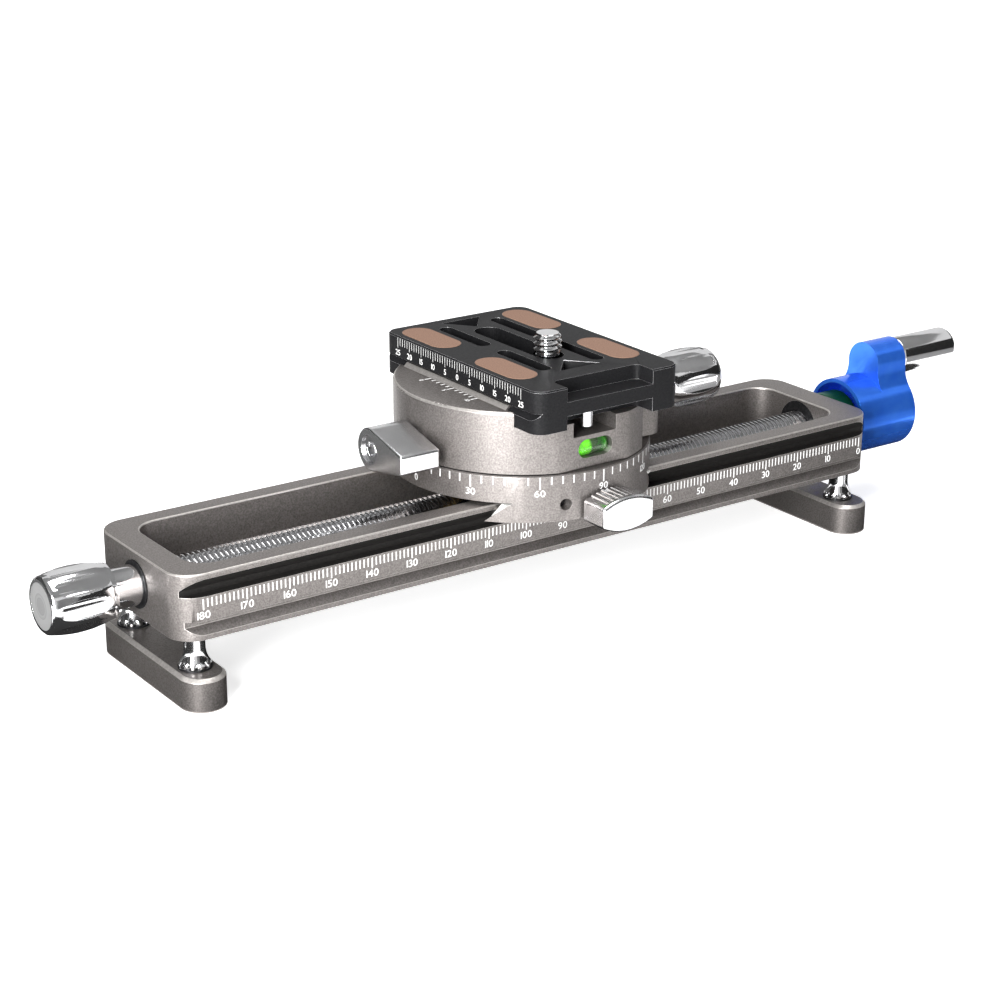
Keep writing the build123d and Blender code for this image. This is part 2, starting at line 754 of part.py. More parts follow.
# Brass drive nut hung from the ceiling by four screws.
with BuildPart() as drive_nut:
    with Locations(facing_z(pan_x, 0, nut_bottom)):
        Box(nut_length, nut_width, ceiling - nut_bottom, align=base_centre)
    with Locations(facing_z(pan_x, 0, nut_flange_bottom)):
        Box(nut_flange_length, nut_width, nut_flange_height, align=base_centre)
    with Locations(facing_x(pan_x - nut_length / 2, 0, screw_height)):
        Cylinder(screw_radius + running_fit, nut_length, align=base_centre,
                 mode=Mode.SUBTRACT)
    with Locations(*[facing_z(x, y, nut_flange_bottom) for x, y in nut_spots]):
        Cylinder(nut_screw_radius, nut_flange_height, align=base_centre, mode=Mode.SUBTRACT)
        Cylinder(nut_screw_head_radius, nut_screw_head_height, align=base_centre,
                 mode=Mode.SUBTRACT)
save(drive_nut, "drive_nut")

with BuildPart() as drive_nut_screws:
    with Locations(*[facing_z(x, y, nut_flange_bottom) for x, y in nut_spots]):
        Cylinder(nut_screw_radius, nut_screw_length, align=base_centre)
        Cylinder(nut_screw_head_radius, nut_screw_head_height, align=base_centre)
        Cylinder(nut_screw_hex_radius, nut_screw_hex_depth, align=base_centre,
                 mode=Mode.SUBTRACT)
save(drive_nut_screws, "drive_nut_screws")

# Slanted gib strips between the lips and the rail's guide faces, and flat wear pads
# between the rail's top and the ceiling.
gib_section = [
    (gib_bottom + gib_inner, gib_bottom),
    (gib_top + gib_inner, gib_top),
    (gib_top + gib_outer, gib_top),
    (gib_bottom + gib_outer, gib_bottom),
]
pad_y = half_width - pad_inset - pad_width / 2

for end, end_name in ((-1, "front"), (1, "rear")):
    with BuildPart() as gib:
        with BuildSketch(Plane.YZ.offset(pan_x - gib_length / 2)):
            with BuildLine():
                Polyline(*[(end * y, z) for y, z in gib_section], close=True)
            make_face()
        extrude(amount=gib_length)
    save(gib, f"gib_{end_name}")

    with BuildPart() as slide_pad:
        with Locations(facing_z(pan_x, end * pad_y, rail_height + slide_fit)):
            Box(pad_length, pad_width, ceiling_gap - slide_fit, align=base_centre)
    save(slide_pad, f"slide_pad_{end_name}")

with BuildPart() as gib_set_screw:
    with Locations(facing_y(gib_screw_x, -gib_screw_tip, gib_screw_height)):
        Cylinder(gib_screw_radius, gib_screw_length, align=top_centre)
    with Locations(facing_y(gib_screw_x, -gib_screw_tip - gib_screw_length, gib_screw_height)):
        Cylinder(gib_screw_hex_radius, gib_screw_hex_depth, align=base_centre,
                 mode=Mode.SUBTRACT)
save(gib_set_screw, "gib_set_screw")

# ---- Carriage lock ------------------------------------------------------------------------

# Wing-shaped thumb knob with ridged long sides and a rounded front.
half_lock = lock_width / 2
half_end = lock_end / 2
half_middle = lock_middle / 2
arc_rise = half_middle - half_end
arc_radius = (half_lock**2 + arc_rise**2) / (2 * arc_rise)
ridge_circle = arc_radius + lock_ridge_lift
ridge_step = (lock_width - lock_ridge_margin) / (lock_ridges - 1) / arc_radius
lock_bore_y = -lock_back - lock_screw_grip
with BuildPart() as lock_knob:
    with BuildSketch(facing_minus_y(lock_x, -lock_back, lock_height)):
        with BuildLine():
            ThreePointArc((-half_lock, half_end), (0, half_middle), (half_lock, half_end))
            Line((half_lock, half_end), (half_lock, -half_end))
            ThreePointArc((half_lock, -half_end), (0, -half_middle), (-half_lock, -half_end))
            Line((-half_lock, -half_end), (-half_lock, half_end))
        make_face()
    extrude(amount=lock_length)
    fillet(lock_knob.edges().filter_by(Axis.Y), radius=lock_side_round)
    fillet(lock_knob.faces().sort_by(Axis.Y)[0].edges(), radius=lock_face_round)
    for long_side in (-1, 1):
        arc_z = lock_height + long_side * (half_middle - arc_radius)
        for i in range(lock_ridges):
            turn = (i - (lock_ridges - 1) / 2) * ridge_step
            ridge_x = lock_x + ridge_circle * math.sin(turn)
            ridge_z = arc_z + long_side * ridge_circle * math.cos(turn)
            with Locations(facing_y(ridge_x, -lock_front + lock_ridge_land, ridge_z)):
                Cylinder(lock_ridge_radius, lock_length - lock_ridge_land,
                         align=base_centre, mode=Mode.SUBTRACT)
    with Locations(facing_y(lock_x, -lock_back, lock_height)):
        Cylinder(lock_neck_radius, lock_stand - body_gap, align=base_centre)
    with Locations(facing_y(lock_x, lock_bore_y, lock_height)):
        Cylinder(lock_screw_radius, lock_screw_grip + lock_stand, align=base_centre,
                 mode=Mode.SUBTRACT)
save(lock_knob, "lock_knob")

with BuildPart() as lock_screw:
    with Locations(facing_y(lock_x, lock_bore_y, lock_height)):
        Cylinder(lock_screw_radius, -lock_bore_y - lock_tip, align=base_centre)
save(lock_screw, "lock_screw")

# ---- Panning clamp --------------------------------------------------------------------------

hook_outer = hook_line + hook_flat   # y plus z on the slope outside the hook's flat top
hook_back = hook_outer - clamp_top + hook_root
hook_section = [
    (wall_offset, hook_line - wall_offset),
    (hook_line - hook_top, hook_top),
    (hook_outer - hook_top, hook_top),
    (hook_outer - clamp_top, clamp_top),
    (hook_back, clamp_top),
    (hook_back, clamp_top - hook_root),
    (wall_offset, clamp_top - hook_root),
]
keeper_spots = PolarLocations(keeper_circle_radius, keeper_screw_count).locations
keeper_points = [
    (pan_x + spot.position.X, spot.position.Y) for spot in keeper_spots
]
spring_seat_x = clamp_cut_x - spring_length + spring_air

# Upper body of the pan head: fixed jaw on the left, flat front with the level vial,
# a spigot that turns in the carriage.
with BuildPart() as clamp_body:
    with BuildSketch(Plane.XY.offset(clamp_bottom)):
        with Locations((pan_x, 0)):
            Circle(clamp_radius)
    extrude(amount=clamp_top - clamp_bottom)
    with Locations(facing_z(pan_x, -facet_distance, clamp_bottom)):
        Box(4 * clamp_radius, clamp_radius, clamp_top,
            align=(Align.CENTER, Align.MAX, Align.MIN), mode=Mode.SUBTRACT)
    fillet(clamp_body.faces().sort_by(Axis.Z)[-1].edges(), radius=clamp_fillet)
    with Locations(facing_z(clamp_cut_x, 0, clamp_bottom)):
        Box(clamp_radius, 4 * clamp_radius, clamp_top,
            align=(Align.MIN, Align.CENTER, Align.MIN), mode=Mode.SUBTRACT)
    with Locations(facing_z(plate_x - wall_offset, 0, seat_height)):
        Box(4 * clamp_radius, 4 * clamp_radius, clamp_top,
            align=(Align.MIN, Align.CENTER, Align.MIN), mode=Mode.SUBTRACT)
    hook_back_x = plate_x - hook_back - pan_x
    hook_half = math.sqrt(clamp_radius**2 - hook_back_x**2) - clamp_fillet - hook_inset
    with BuildSketch(Plane.XZ.offset(-hook_half)):
        with BuildLine():
            Polyline(*[(plate_x - along, z) for along, z in hook_section], close=True)
        make_face()
    extrude(amount=2 * hook_half)
    with Locations(facing_z(pan_x, -notch_reach, notch_floor)):
        Box(notch_width, clamp_radius, clamp_top,
            align=(Align.CENTER, Align.MAX, Align.MIN), mode=Mode.SUBTRACT)
    with Locations(facing_z(pan_x, notch_reach, notch_floor)):
        Box(notch_width, clamp_radius, clamp_top,
            align=(Align.CENTER, Align.MIN, Align.MIN), mode=Mode.SUBTRACT)
    with Locations(facing_z(pan_x, 0, spigot_bottom)):
        Cylinder(spigot_radius, clamp_bottom - spigot_bottom, align=base_centre)
    with Locations(*[facing_z(x, y, spigot_bottom) for x, y in keeper_points]):
        Cylinder(keeper_screw_radius, keeper_screw_length - keeper_thickness,
                 align=base_centre, mode=Mode.SUBTRACT)
    with BuildSketch(Plane.XZ.offset(facet_distance)):
        with Locations((vial_x, vial_height)):
            SlotOverall(vial_window_width, vial_window_height)
    extrude(amount=-2 * vial_radius - vial_room, mode=Mode.SUBTRACT)
    with Locations(facing_x(clamp_screw_tip_x - clamp_bore_run, 0, clamp_axis_height)):
        Cylinder(clamp_screw_radius + running_fit, clamp_radius, align=base_centre,
                 mode=Mode.SUBTRACT)
    with Locations(facing_x(guide_pin_tip_x - clamp_bore_run, -guide_pin_y, clamp_axis_height),
                   facing_x(guide_pin_tip_x - clamp_bore_run, guide_pin_y, clamp_axis_height)):
        Cylinder(guide_pin_radius + running_fit, clamp_radius, align=base_centre,
                 mode=Mode.SUBTRACT)
    with Locations(facing_x(spring_seat_x, -guide_pin_y, clamp_axis_height),
                   facing_x(spring_seat_x, guide_pin_y, clamp_axis_height)):
        Cylinder(spring_radius, clamp_radius, align=base_centre, mode=Mode.SUBTRACT)
    with Locations(facing_x(pan_x - clamp_radius, lever_y, lever_height)):
        Cylinder(spindle_radius + running_fit, clamp_radius - spindle_reach + body_gap,
                 align=base_centre, mode=Mode.SUBTRACT)
    with Locations(facing_z(brake_x, lever_y, clamp_bottom)):
        Cylinder(brake_pin_radius, lever_height - clamp_bottom, align=base_centre,
                 mode=Mode.SUBTRACT)
save(clamp_body, "clamp_body")

# Keeper disc under the spigot and its screws.
with BuildPart() as pan_keeper:
    with Locations(facing_z(pan_x, 0, keeper_bottom)):
        Cylinder(keeper_radius, keeper_thickness, align=base_centre)
    with Locations(*[facing_z(x, y, keeper_bottom) for x, y in keeper_points]):
        Cylinder(keeper_screw_radius, keeper_thickness, align=base_centre, mode=Mode.SUBTRACT)
        Cylinder(keeper_screw_head_radius, keeper_screw_head_height, align=base_centre,
                 mode=Mode.SUBTRACT)
save(pan_keeper, "pan_keeper")

with BuildPart() as pan_keeper_screws:
    with Locations(*[facing_z(x, y, keeper_bottom) for x, y in keeper_points]):
        Cylinder(keeper_screw_radius, keeper_screw_length, align=base_centre)
        Cylinder(keeper_screw_head_radius, keeper_screw_head_height, align=base_centre)
save(pan_keeper_screws, "pan_keeper_screws")

# Spirit level: a closed glass tube with its liquid and a bubble at the top.
vial_y = -facet_distance + vial_radius + vial_sink
vial_axis = Axis((vial_x, vial_y, vial_height), (1, 0, 0))
liquid_length = vial_length - 2 * vial_wall
liquid_radius = vial_radius - vial_wall
with BuildPart() as level_vial:
    with BuildSketch(facing_minus_y(vial_x, vial_y, vial_height)):
        SlotOverall(vial_length, 2 * vial_radius)
        SlotOverall(liquid_length, 2 * liquid_radius, mode=Mode.SUBTRACT)
        Rectangle(vial_length, vial_length, align=(Align.CENTER, Align.MAX), mode=Mode.SUBTRACT)
    revolve(axis=vial_axis)
save(level_vial, "level_vial")

with BuildPart() as vial_liquid:
    with BuildSketch(facing_minus_y(vial_x, vial_y, vial_height)):
        SlotOverall(liquid_length, 2 * liquid_radius)
        Rectangle(vial_length, vial_length, align=(Align.CENTER, Align.MAX), mode=Mode.SUBTRACT)
    revolve(axis=vial_axis)
    with Locations(facing_x(vial_x - bubble_length / 2, vial_y,
                            vial_height + liquid_radius - bubble_radius - bubble_skin)):
        Cylinder(bubble_radius, bubble_length, align=base_centre, mode=Mode.SUBTRACT)
save(vial_liquid, "vial_liquid")

# ---- Pan lock lever ------------------------------------------------------------------------

with BuildPart() as pan_lever:
    with BuildSketch(Plane.YZ.offset(lever_outer_x)):
        with Locations((lever_y, lever_height)):
            Circle(lever_head_radius)
        with Locations((lever_tip_y, lever_height + lever_tip_top - lever_tip_round),
                       (lever_tip_y, lever_height - lever_tip_drop + lever_tip_round)):
            Circle(lever_tip_round)
        make_hull()
    extrude(amount=lever_width)
    fillet(pan_lever.faces().sort_by(Axis.X)[0].edges(), radius=lever_edge)
    fillet(pan_lever.faces().sort_by(Axis.X)[-1].edges(), radius=lever_edge)
    with Locations(facing_x(lever_outer_x, lever_y, lever_height)):
        Cylinder(lever_screw_radius, lever_screw_length, align=base_centre, mode=Mode.SUBTRACT)
        Cylinder(spindle_radius, lever_width, align=base_centre, mode=Mode.SUBTRACT)
save(pan_lever, "pan_lever")

with BuildPart() as lever_screw:
    with Locations(facing_x(lever_outer_x + lever_screw_sink, lever_y, lever_height)):
        Cylinder(lever_screw_radius, lever_screw_length - lever_screw_sink, align=base_centre)
    with BuildSketch(Plane.YZ.offset(lever_outer_x + lever_screw_sink)):
        with Locations((lever_y, lever_height)):
            RegularPolygon(lever_screw_hex / 2, 6, major_radius=False)
    extrude(amount=lever_screw_hex_depth, mode=Mode.SUBTRACT)
save(lever_screw, "lever_screw")

# Spindle with a conical nose that pushes the brake pin down on the carriage.
spindle_start_x = lever_outer_x + lever_screw_length
with BuildPart() as lever_spindle:
    with BuildSketch(facing_minus_y(0, lever_y, lever_height)):
        with BuildLine():
            Polyline((spindle_start_x, 0), (spindle_start_x, spindle_radius),
                     (lever_inner_x, spindle_radius), (lever_inner_x, spindle_collar_radius),
                     (lever_inner_x + spindle_collar_width, spindle_collar_radius),
                     (lever_inner_x + spindle_collar_width, spindle_radius),
                     (spindle_end_x - spindle_cone, spindle_radius),
                     (spindle_end_x, spindle_radius - spindle_cone),
                     (spindle_end_x, 0), close=True)
        make_face()
    revolve(axis=Axis((0, lever_y, lever_height), (1, 0, 0)))
save(lever_spindle, "lever_spindle")

# Round-topped brake pin under the cone.
cone_line = lever_height - spindle_radius - (spindle_end_x - spindle_cone)
dome_centre = cone_line - (brake_pin_radius + thrust_gap) * slant + brake_x
with BuildPart() as brake_pin:
    with Locations(facing_z(brake_x, lever_y, seam_height + thrust_gap)):
        Cylinder(brake_pin_radius, dome_centre - seam_height - thrust_gap, align=base_centre)
    with Locations(facing_z(brake_x, lever_y, dome_centre)):
        Sphere(brake_pin_radius, arc_size1=0)
save(brake_pin, "brake_pin")

# ---- Clamp jaw and its knob ------------------------------------------------------------------

jaw_hook_back = hook_outer - jaw_top + hook_root
jaw_hook = [
    (wall_offset, hook_line - wall_offset),
    (hook_line - hook_top, hook_top),
    (hook_outer - hook_top, hook_top),
    (hook_outer - jaw_top, jaw_top),
    (jaw_hook_back, jaw_top),
    (jaw_hook_back, jaw_top - hook_root),
    (wall_offset, jaw_top - hook_root),
]

with BuildPart() as clamp_jaw:
    with BuildSketch(Plane.XY.offset(jaw_bottom)) as jaw_outline:
        with Locations(((jaw_inner_x + jaw_outer_x) / 2, 0)):
            Rectangle(jaw_outer_x - jaw_inner_x, jaw_width)
        fillet(jaw_outline.vertices().sort_by(Axis.X)[-2:], radius=jaw_corner)
    extrude(amount=jaw_top - jaw_bottom)
    outer_edges = clamp_jaw.faces().sort_by(Axis.Z)[-1].edges().sort_by(Axis.X)[-3:]
    fillet(outer_edges, radius=jaw_fillet)
    with Locations(facing_z(jaw_wall_x, 0, seat_height - seat_gap)):
        Box(jaw_width, 2 * jaw_width, jaw_top, align=(Align.MAX, Align.CENTER, Align.MIN),
            mode=Mode.SUBTRACT)
    with BuildSketch(Plane.XZ.offset(-jaw_width / 2 + hook_inset)):
        with BuildLine():
            Polyline(*[(plate_x + along, z) for along, z in jaw_hook], close=True)
        make_face()
    extrude(amount=jaw_width - 2 * hook_inset)
    with Locations(facing_x(jaw_inner_x, 0, clamp_axis_height)):
        Cylinder(clamp_screw_radius + running_fit, jaw_outer_x - jaw_inner_x,
                 align=base_centre, mode=Mode.SUBTRACT)
    with Locations(facing_x(jaw_inner_x, -guide_pin_y, clamp_axis_height),
                   facing_x(jaw_inner_x, guide_pin_y, clamp_axis_height)):
        Cylinder(guide_pin_radius, guide_pin_grip, align=base_centre, mode=Mode.SUBTRACT)
save(clamp_jaw, "clamp_jaw")

with BuildPart() as jaw_guide_pins:
    with Locations(facing_x(guide_pin_tip_x, -guide_pin_y, clamp_axis_height),
                   facing_x(guide_pin_tip_x, guide_pin_y, clamp_axis_height)):
        Cylinder(guide_pin_radius, jaw_inner_x + guide_pin_grip - guide_pin_tip_x,
                 align=base_centre)
save(jaw_guide_pins, "jaw_guide_pins")

# Opening springs round the guide pins, plain sleeves because nothing shows of them.
with BuildPart() as jaw_springs:
    with Locations(facing_x(spring_seat_x, -guide_pin_y, clamp_axis_height),
                   facing_x(spring_seat_x, guide_pin_y, clamp_axis_height)):
        Cylinder(spring_radius, spring_length, align=base_centre)
        Cylinder(guide_pin_radius + thrust_gap, spring_length, align=base_centre,
                 mode=Mode.SUBTRACT)
save(jaw_springs, "jaw_springs")

clamp_knob = turned_knob(knob_inner_clamp, 1, clamp_axis_height, knob_neck_clamp,
                         clamp_screw_radius)
save(clamp_knob, "clamp_knob")
clamp_knob_cap = knob_cap(knob_inner_clamp, 1, clamp_axis_height)
save(clamp_knob_cap, "clamp_knob_cap")

clamp_screw_end_x = knob_inner_clamp + knob_length - knob_cap_depth - knob_solid_end
with BuildPart() as clamp_screw:
    with Locations(facing_x(clamp_screw_tip_x, 0, clamp_axis_height)):
        Cylinder(clamp_screw_radius, clamp_screw_end_x - clamp_screw_tip_x, align=base_centre)
save(clamp_screw, "clamp_screw")

# ---- Quick release plate -----------------------------------------------------------------------

plate_groove = [
    (plate_half + overcut, plate_flange_top - overcut),
    (plate_half - plate_groove_depth, plate_groove_top),
    (plate_half + overcut, plate_groove_top),
]
pad_side_x = plate_half - pad_side_inset
pad_spots = [
    (plate_x + side * pad_side_x, plate_y + y)
    for y in (pad_front_y, pad_back_y) for side in (-1, 1)
]
lightening_spots = [
    (plate_x + side * lightening_x, plate_y + y)
    for y in (lightening_front_y, lightening_back_y) for side in (-1, 1)
]
stop_spots = [
    (plate_x - stop_x, plate_front + stop_inset),
    (plate_x - stop_x, plate_back - stop_inset),
]
stop_bottom = plate_bottom - stop_drop
mouth_y = plate_front + mouth_depth

with BuildPart() as qr_plate:
    with BuildSketch(Plane.XY.offset(plate_bottom)):
        with Locations((plate_x, plate_y)):
            RectangleRounded(plate_width, plate_length, plate_corner)
    extrude(amount=plate_thickness)
    chamfer(qr_plate.faces().sort_by(Axis.Z)[-1].edges(), length=plate_edge)
    for side in (-1, 1):
        with BuildSketch(Plane.XZ.offset(-plate_back - overcut)):
            with BuildLine():
                Polyline(*[(plate_x + side * along, z) for along, z in plate_groove], close=True)
            make_face()
        extrude(amount=plate_length + 2 * overcut, mode=Mode.SUBTRACT)
    with BuildSketch(Plane.XY.offset(plate_bottom)):
        with Locations(*lightening_spots):
            SlotOverall(lightening_length, lightening_width, rotation=90)
        with Locations((plate_x, plate_y + (slot_front_y + slot_back_y) / 2)):
            SlotOverall(slot_back_y - slot_front_y, slot_width, rotation=90)
    extrude(amount=plate_thickness, mode=Mode.SUBTRACT)
    with BuildSketch(Plane.XY.offset(plate_bottom)):
        with Locations((plate_x, plate_y + (channel_front_y + channel_back_y) / 2)):
            SlotOverall(channel_back_y - channel_front_y, channel_width, rotation=90)
    extrude(amount=channel_depth, mode=Mode.SUBTRACT)
    with BuildSketch(Plane.XY.offset(plate_top - pad_recess)):
        with Locations(*pad_spots):
            SlotOverall(pad_stadium_length, pad_stadium_width, rotation=90)
    extrude(amount=pad_recess, mode=Mode.SUBTRACT)
    triangles = ((triangle_back, triangle_back_tip), (triangle_front, triangle_front_tip))
    for base_y, tip_y in triangles:
        with BuildSketch(facing_z(plate_x, plate_y, plate_top - triangle_depth)):
            with BuildLine():
                Polyline((-triangle_half, base_y), (triangle_half, base_y), (0, tip_y),
                         close=True)
            make_face()
        extrude(amount=triangle_depth, mode=Mode.SUBTRACT)
    for low, high in ((0, web_low), (web_high, plate_thickness)):
        with BuildSketch(Plane.XY.offset(plate_bottom + low)):
            with Locations((plate_x, mouth_y)):
                RectangleRounded(2 * mouth_half, 2 * mouth_depth, mouth_corner,
                                 align=(Align.CENTER, Align.MAX))
        extrude(amount=high - low, mode=Mode.SUBTRACT)
    with Locations(*[facing_z(x, y, plate_bottom) for x, y in stop_spots]):
        Cylinder(stop_radius, stop_depth, align=base_centre, mode=Mode.SUBTRACT)
save(qr_plate, "qr_plate")

for index, (x, y) in enumerate(pad_spots, start=1):
    with BuildPart() as plate_pad:
        with BuildSketch(Plane.XY.offset(plate_top - pad_recess)):
            with Locations((x, y)):
                SlotOverall(pad_stadium_length, pad_stadium_width, rotation=90)
        extrude(amount=pad_recess + pad_stand)
    save(plate_pad, f"plate_pad_{index}")

with BuildPart() as plate_stop_screws:
    with Locations(*[facing_z(x, y, stop_bottom) for x, y in stop_spots]):
        Cylinder(stop_radius, stop_drop + stop_depth, align=base_centre)
save(plate_stop_screws, "plate_stop_screws")

# ---- Camera screw ---------------------------------------------------------------------------------

camera_y = plate_y + camera_screw_y
washer_top = channel_ceiling - seat_gap
head_top = washer_top - washer_thickness - thrust_gap
head_bottom = head_top - camera_screw_head_height
thread_bottom = plate_top + pad_stand

with BuildPart() as screw_washer:
    with Locations(facing_z(plate_x, camera_y, washer_top - washer_thickness)):
        Cylinder(washer_outer_radius, washer_thickness, align=base_centre)
        Cylinder(camera_screw_radius + running_fit, washer_thickness, align=base_centre,
                 mode=Mode.SUBTRACT)
save(screw_washer, "screw_washer")

with BuildPart() as camera_screw:
    with Locations(facing_z(plate_x, camera_y, head_bottom)):
        Cylinder(camera_screw_head_radius, camera_screw_head_height, align=base_centre)
        Cylinder(camera_shank_radius, thread_bottom - head_bottom, align=base_centre)
        Box(2 * camera_screw_head_radius, camera_screw_slot, camera_screw_slot_depth,
            align=base_centre, mode=Mode.SUBTRACT)
    with Locations(facing_z(plate_x, camera_y, thread_bottom)):
        Cylinder(camera_screw_radius, camera_screw_stand - pad_stand, align=base_centre)
    chamfer(camera_screw.faces().sort_by(Axis.Z)[-1].edges(), length=camera_screw_chamfer)
save(camera_screw, "camera_screw")
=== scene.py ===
import math

import bmesh
import bpy
from mathutils import Matrix, Vector


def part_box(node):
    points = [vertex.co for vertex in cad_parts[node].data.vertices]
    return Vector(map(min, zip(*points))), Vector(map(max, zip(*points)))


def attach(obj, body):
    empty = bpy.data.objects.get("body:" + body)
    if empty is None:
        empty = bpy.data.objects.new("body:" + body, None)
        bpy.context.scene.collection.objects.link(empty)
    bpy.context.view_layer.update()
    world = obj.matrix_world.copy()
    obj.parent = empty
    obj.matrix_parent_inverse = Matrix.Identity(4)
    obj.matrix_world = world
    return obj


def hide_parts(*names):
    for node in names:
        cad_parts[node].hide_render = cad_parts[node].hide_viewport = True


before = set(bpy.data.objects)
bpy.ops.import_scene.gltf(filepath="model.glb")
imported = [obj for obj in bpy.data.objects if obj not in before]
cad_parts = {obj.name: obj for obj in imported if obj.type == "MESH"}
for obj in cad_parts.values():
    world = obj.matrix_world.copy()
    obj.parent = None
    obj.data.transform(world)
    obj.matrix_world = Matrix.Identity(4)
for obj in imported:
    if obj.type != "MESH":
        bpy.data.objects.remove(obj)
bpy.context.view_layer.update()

# ---- Camera --------------------------------------------------------------------------------
# A long lens a little above the rail, looking along it from its left end.

mm = 0.001


def new_object(name, data):
    """An object in the scene that holds this data."""
    made = bpy.data.objects.new(name, data)
    bpy.context.scene.collection.objects.link(made)
    return made


azimuth = math.radians(-35.286)
elevation = math.radians(20.029)
roll = math.radians(0.179)
camera_place = Vector((-0.28283, -0.39506, 0.18299))
camera_lens = 81.287

toward_camera = Vector((math.sin(azimuth) * math.cos(elevation),
                        -math.cos(azimuth) * math.cos(elevation),
                        math.sin(elevation)))
level_right = Vector((math.cos(azimuth), math.sin(azimuth), 0))
level_up = toward_camera.cross(level_right)
camera_right = level_right * math.cos(roll) + level_up * math.sin(roll)
camera_up = level_up * math.cos(roll) - level_right * math.sin(roll)

camera_data = bpy.data.cameras.new("camera")
camera_data.lens = camera_lens
camera_data.sensor_width = 36
camera_data.clip_start = 0.01
camera = new_object("camera", camera_data)
camera_axes = Matrix((camera_right, camera_up, toward_camera)).transposed()
camera.matrix_world = Matrix.Translation(camera_place) @ camera_axes.to_4x4()
bpy.context.scene.camera = camera

# ---- Rail ----------------------------------------------------------------------------------
# One long bar of aluminium, milled, bead blasted and anodised titanium grey. Its edges
# are broken by a small bevel, which carries a painted highlight as a light line; its guide
# grooves carry painted shade, near black.


def new_finish(name, colour, metallic, roughness):
    """A material with its plain values set, and its node tree and shader."""
    finish = bpy.data.materials.new(name)
    finish.use_nodes = True
    shader = finish.node_tree.nodes["Principled BSDF"]
    shader.inputs["Base Color"].default_value = (*colour, 1)
    shader.inputs["Metallic"].default_value = metallic
    shader.inputs["Roughness"].default_value = roughness
    return finish, finish.node_tree, shader


def grain(tree, size, detail):
    """Noise whose features are about this many metres across, on object coordinates."""
    place = tree.nodes.new("ShaderNodeTexCoord")
    noise = tree.nodes.new("ShaderNodeTexNoise")
    noise.inputs["Scale"].default_value = 1 / size
    noise.inputs["Detail"].default_value = detail
    tree.links.new(place.outputs["Object"], noise.inputs["Vector"])
    return noise.outputs["Fac"]


def tint(tree, shader, factor, dark, light, low=0.3, high=0.7):
    """Base colour that runs from dark to light along a grain."""
    ramp = tree.nodes.new("ShaderNodeValToRGB")
    ramp.color_ramp.elements[0].position = low
    ramp.color_ramp.elements[1].position = high
    ramp.color_ramp.elements[0].color = (*dark, 1)
    ramp.color_ramp.elements[1].color = (*light, 1)
    tree.links.new(factor, ramp.inputs["Fac"])
    tree.links.new(ramp.outputs["Color"], shader.inputs["Base Color"])


def vary_roughness(tree, shader, factor, low, high):
    """Roughness that runs between two values along a grain."""
    span = tree.nodes.new("ShaderNodeMapRange")
    span.inputs["To Min"].default_value = low
    span.inputs["To Max"].default_value = high
    tree.links.new(factor, span.inputs["Value"])
    tree.links.new(span.outputs["Result"], shader.inputs["Roughness"])


def emboss(tree, shader, height, depth, strength):
    """Bump of this many metres along a grain."""
    bump = tree.nodes.new("ShaderNodeBump")
    bump.inputs["Distance"].default_value = depth
    bump.inputs["Strength"].default_value = strength
    tree.links.new(height, bump.inputs["Height"])
    tree.links.new(bump.outputs["Normal"], shader.inputs["Normal"])


def blasted_titanium():
    finish, tree, shader = new_finish("blasted_titanium", (0.24, 0.222, 0.213), 0.85, 0.44)
    speckle = grain(tree, 0.35 * mm, 4)
    tint(tree, shader, speckle, (0.17, 0.155, 0.148), (0.31, 0.288, 0.276), 0.3, 0.72)
    vary_roughness(tree, shader, grain(tree, 0.5 * mm, 2), 0.4, 0.52)
    emboss(tree, shader, speckle, 0.02 * mm, 0.5)
    return finish


def cut_titanium():
    """Painted highlight: a lighter titanium on the broken edges, where light catches them."""
    finish, tree, shader = new_finish("cut_titanium", (0.6, 0.57, 0.54), 0.8, 0.35)
    tint(tree, shader, grain(tree, 0.6 * mm, 3), (0.52, 0.49, 0.465), (0.68, 0.65, 0.62))
    vary_roughness(tree, shader, grain(tree, 0.5 * mm, 2), 0.3, 0.42)
    return finish


def groove_coating():
    """Painted shade: near black in the guide groove, standing in for the shadow that falls there."""
    finish, tree, shader = new_finish("groove_coating", (0.012, 0.011, 0.01), 0.0, 0.6)
    shader.inputs["Specular IOR Level"].default_value = 0.25
    tint(tree, shader, grain(tree, 0.5 * mm, 3), (0.008, 0.0075, 0.007), (0.016, 0.015, 0.014))
    vary_roughness(tree, shader, grain(tree, 0.5 * mm, 2), 0.5, 0.68)
    return finish


titanium = blasted_titanium()
# Painted highlight for the bevels, and painted shade for the guide grooves.
painted_edge_highlight = cut_titanium()
groove_shade = groove_coating()


weld_gap = 0.001 * mm
flat_angle = math.radians(0.4)
fine_edge = 0.1 * mm
firm_edge = 0.12 * mm


def evaluated_mesh(made):
    """The plain mesh that an object's modifiers, nodes or lettering make."""
    graph = bpy.context.evaluated_depsgraph_get()
    return bpy.data.meshes.new_from_object(made.evaluated_get(graph))


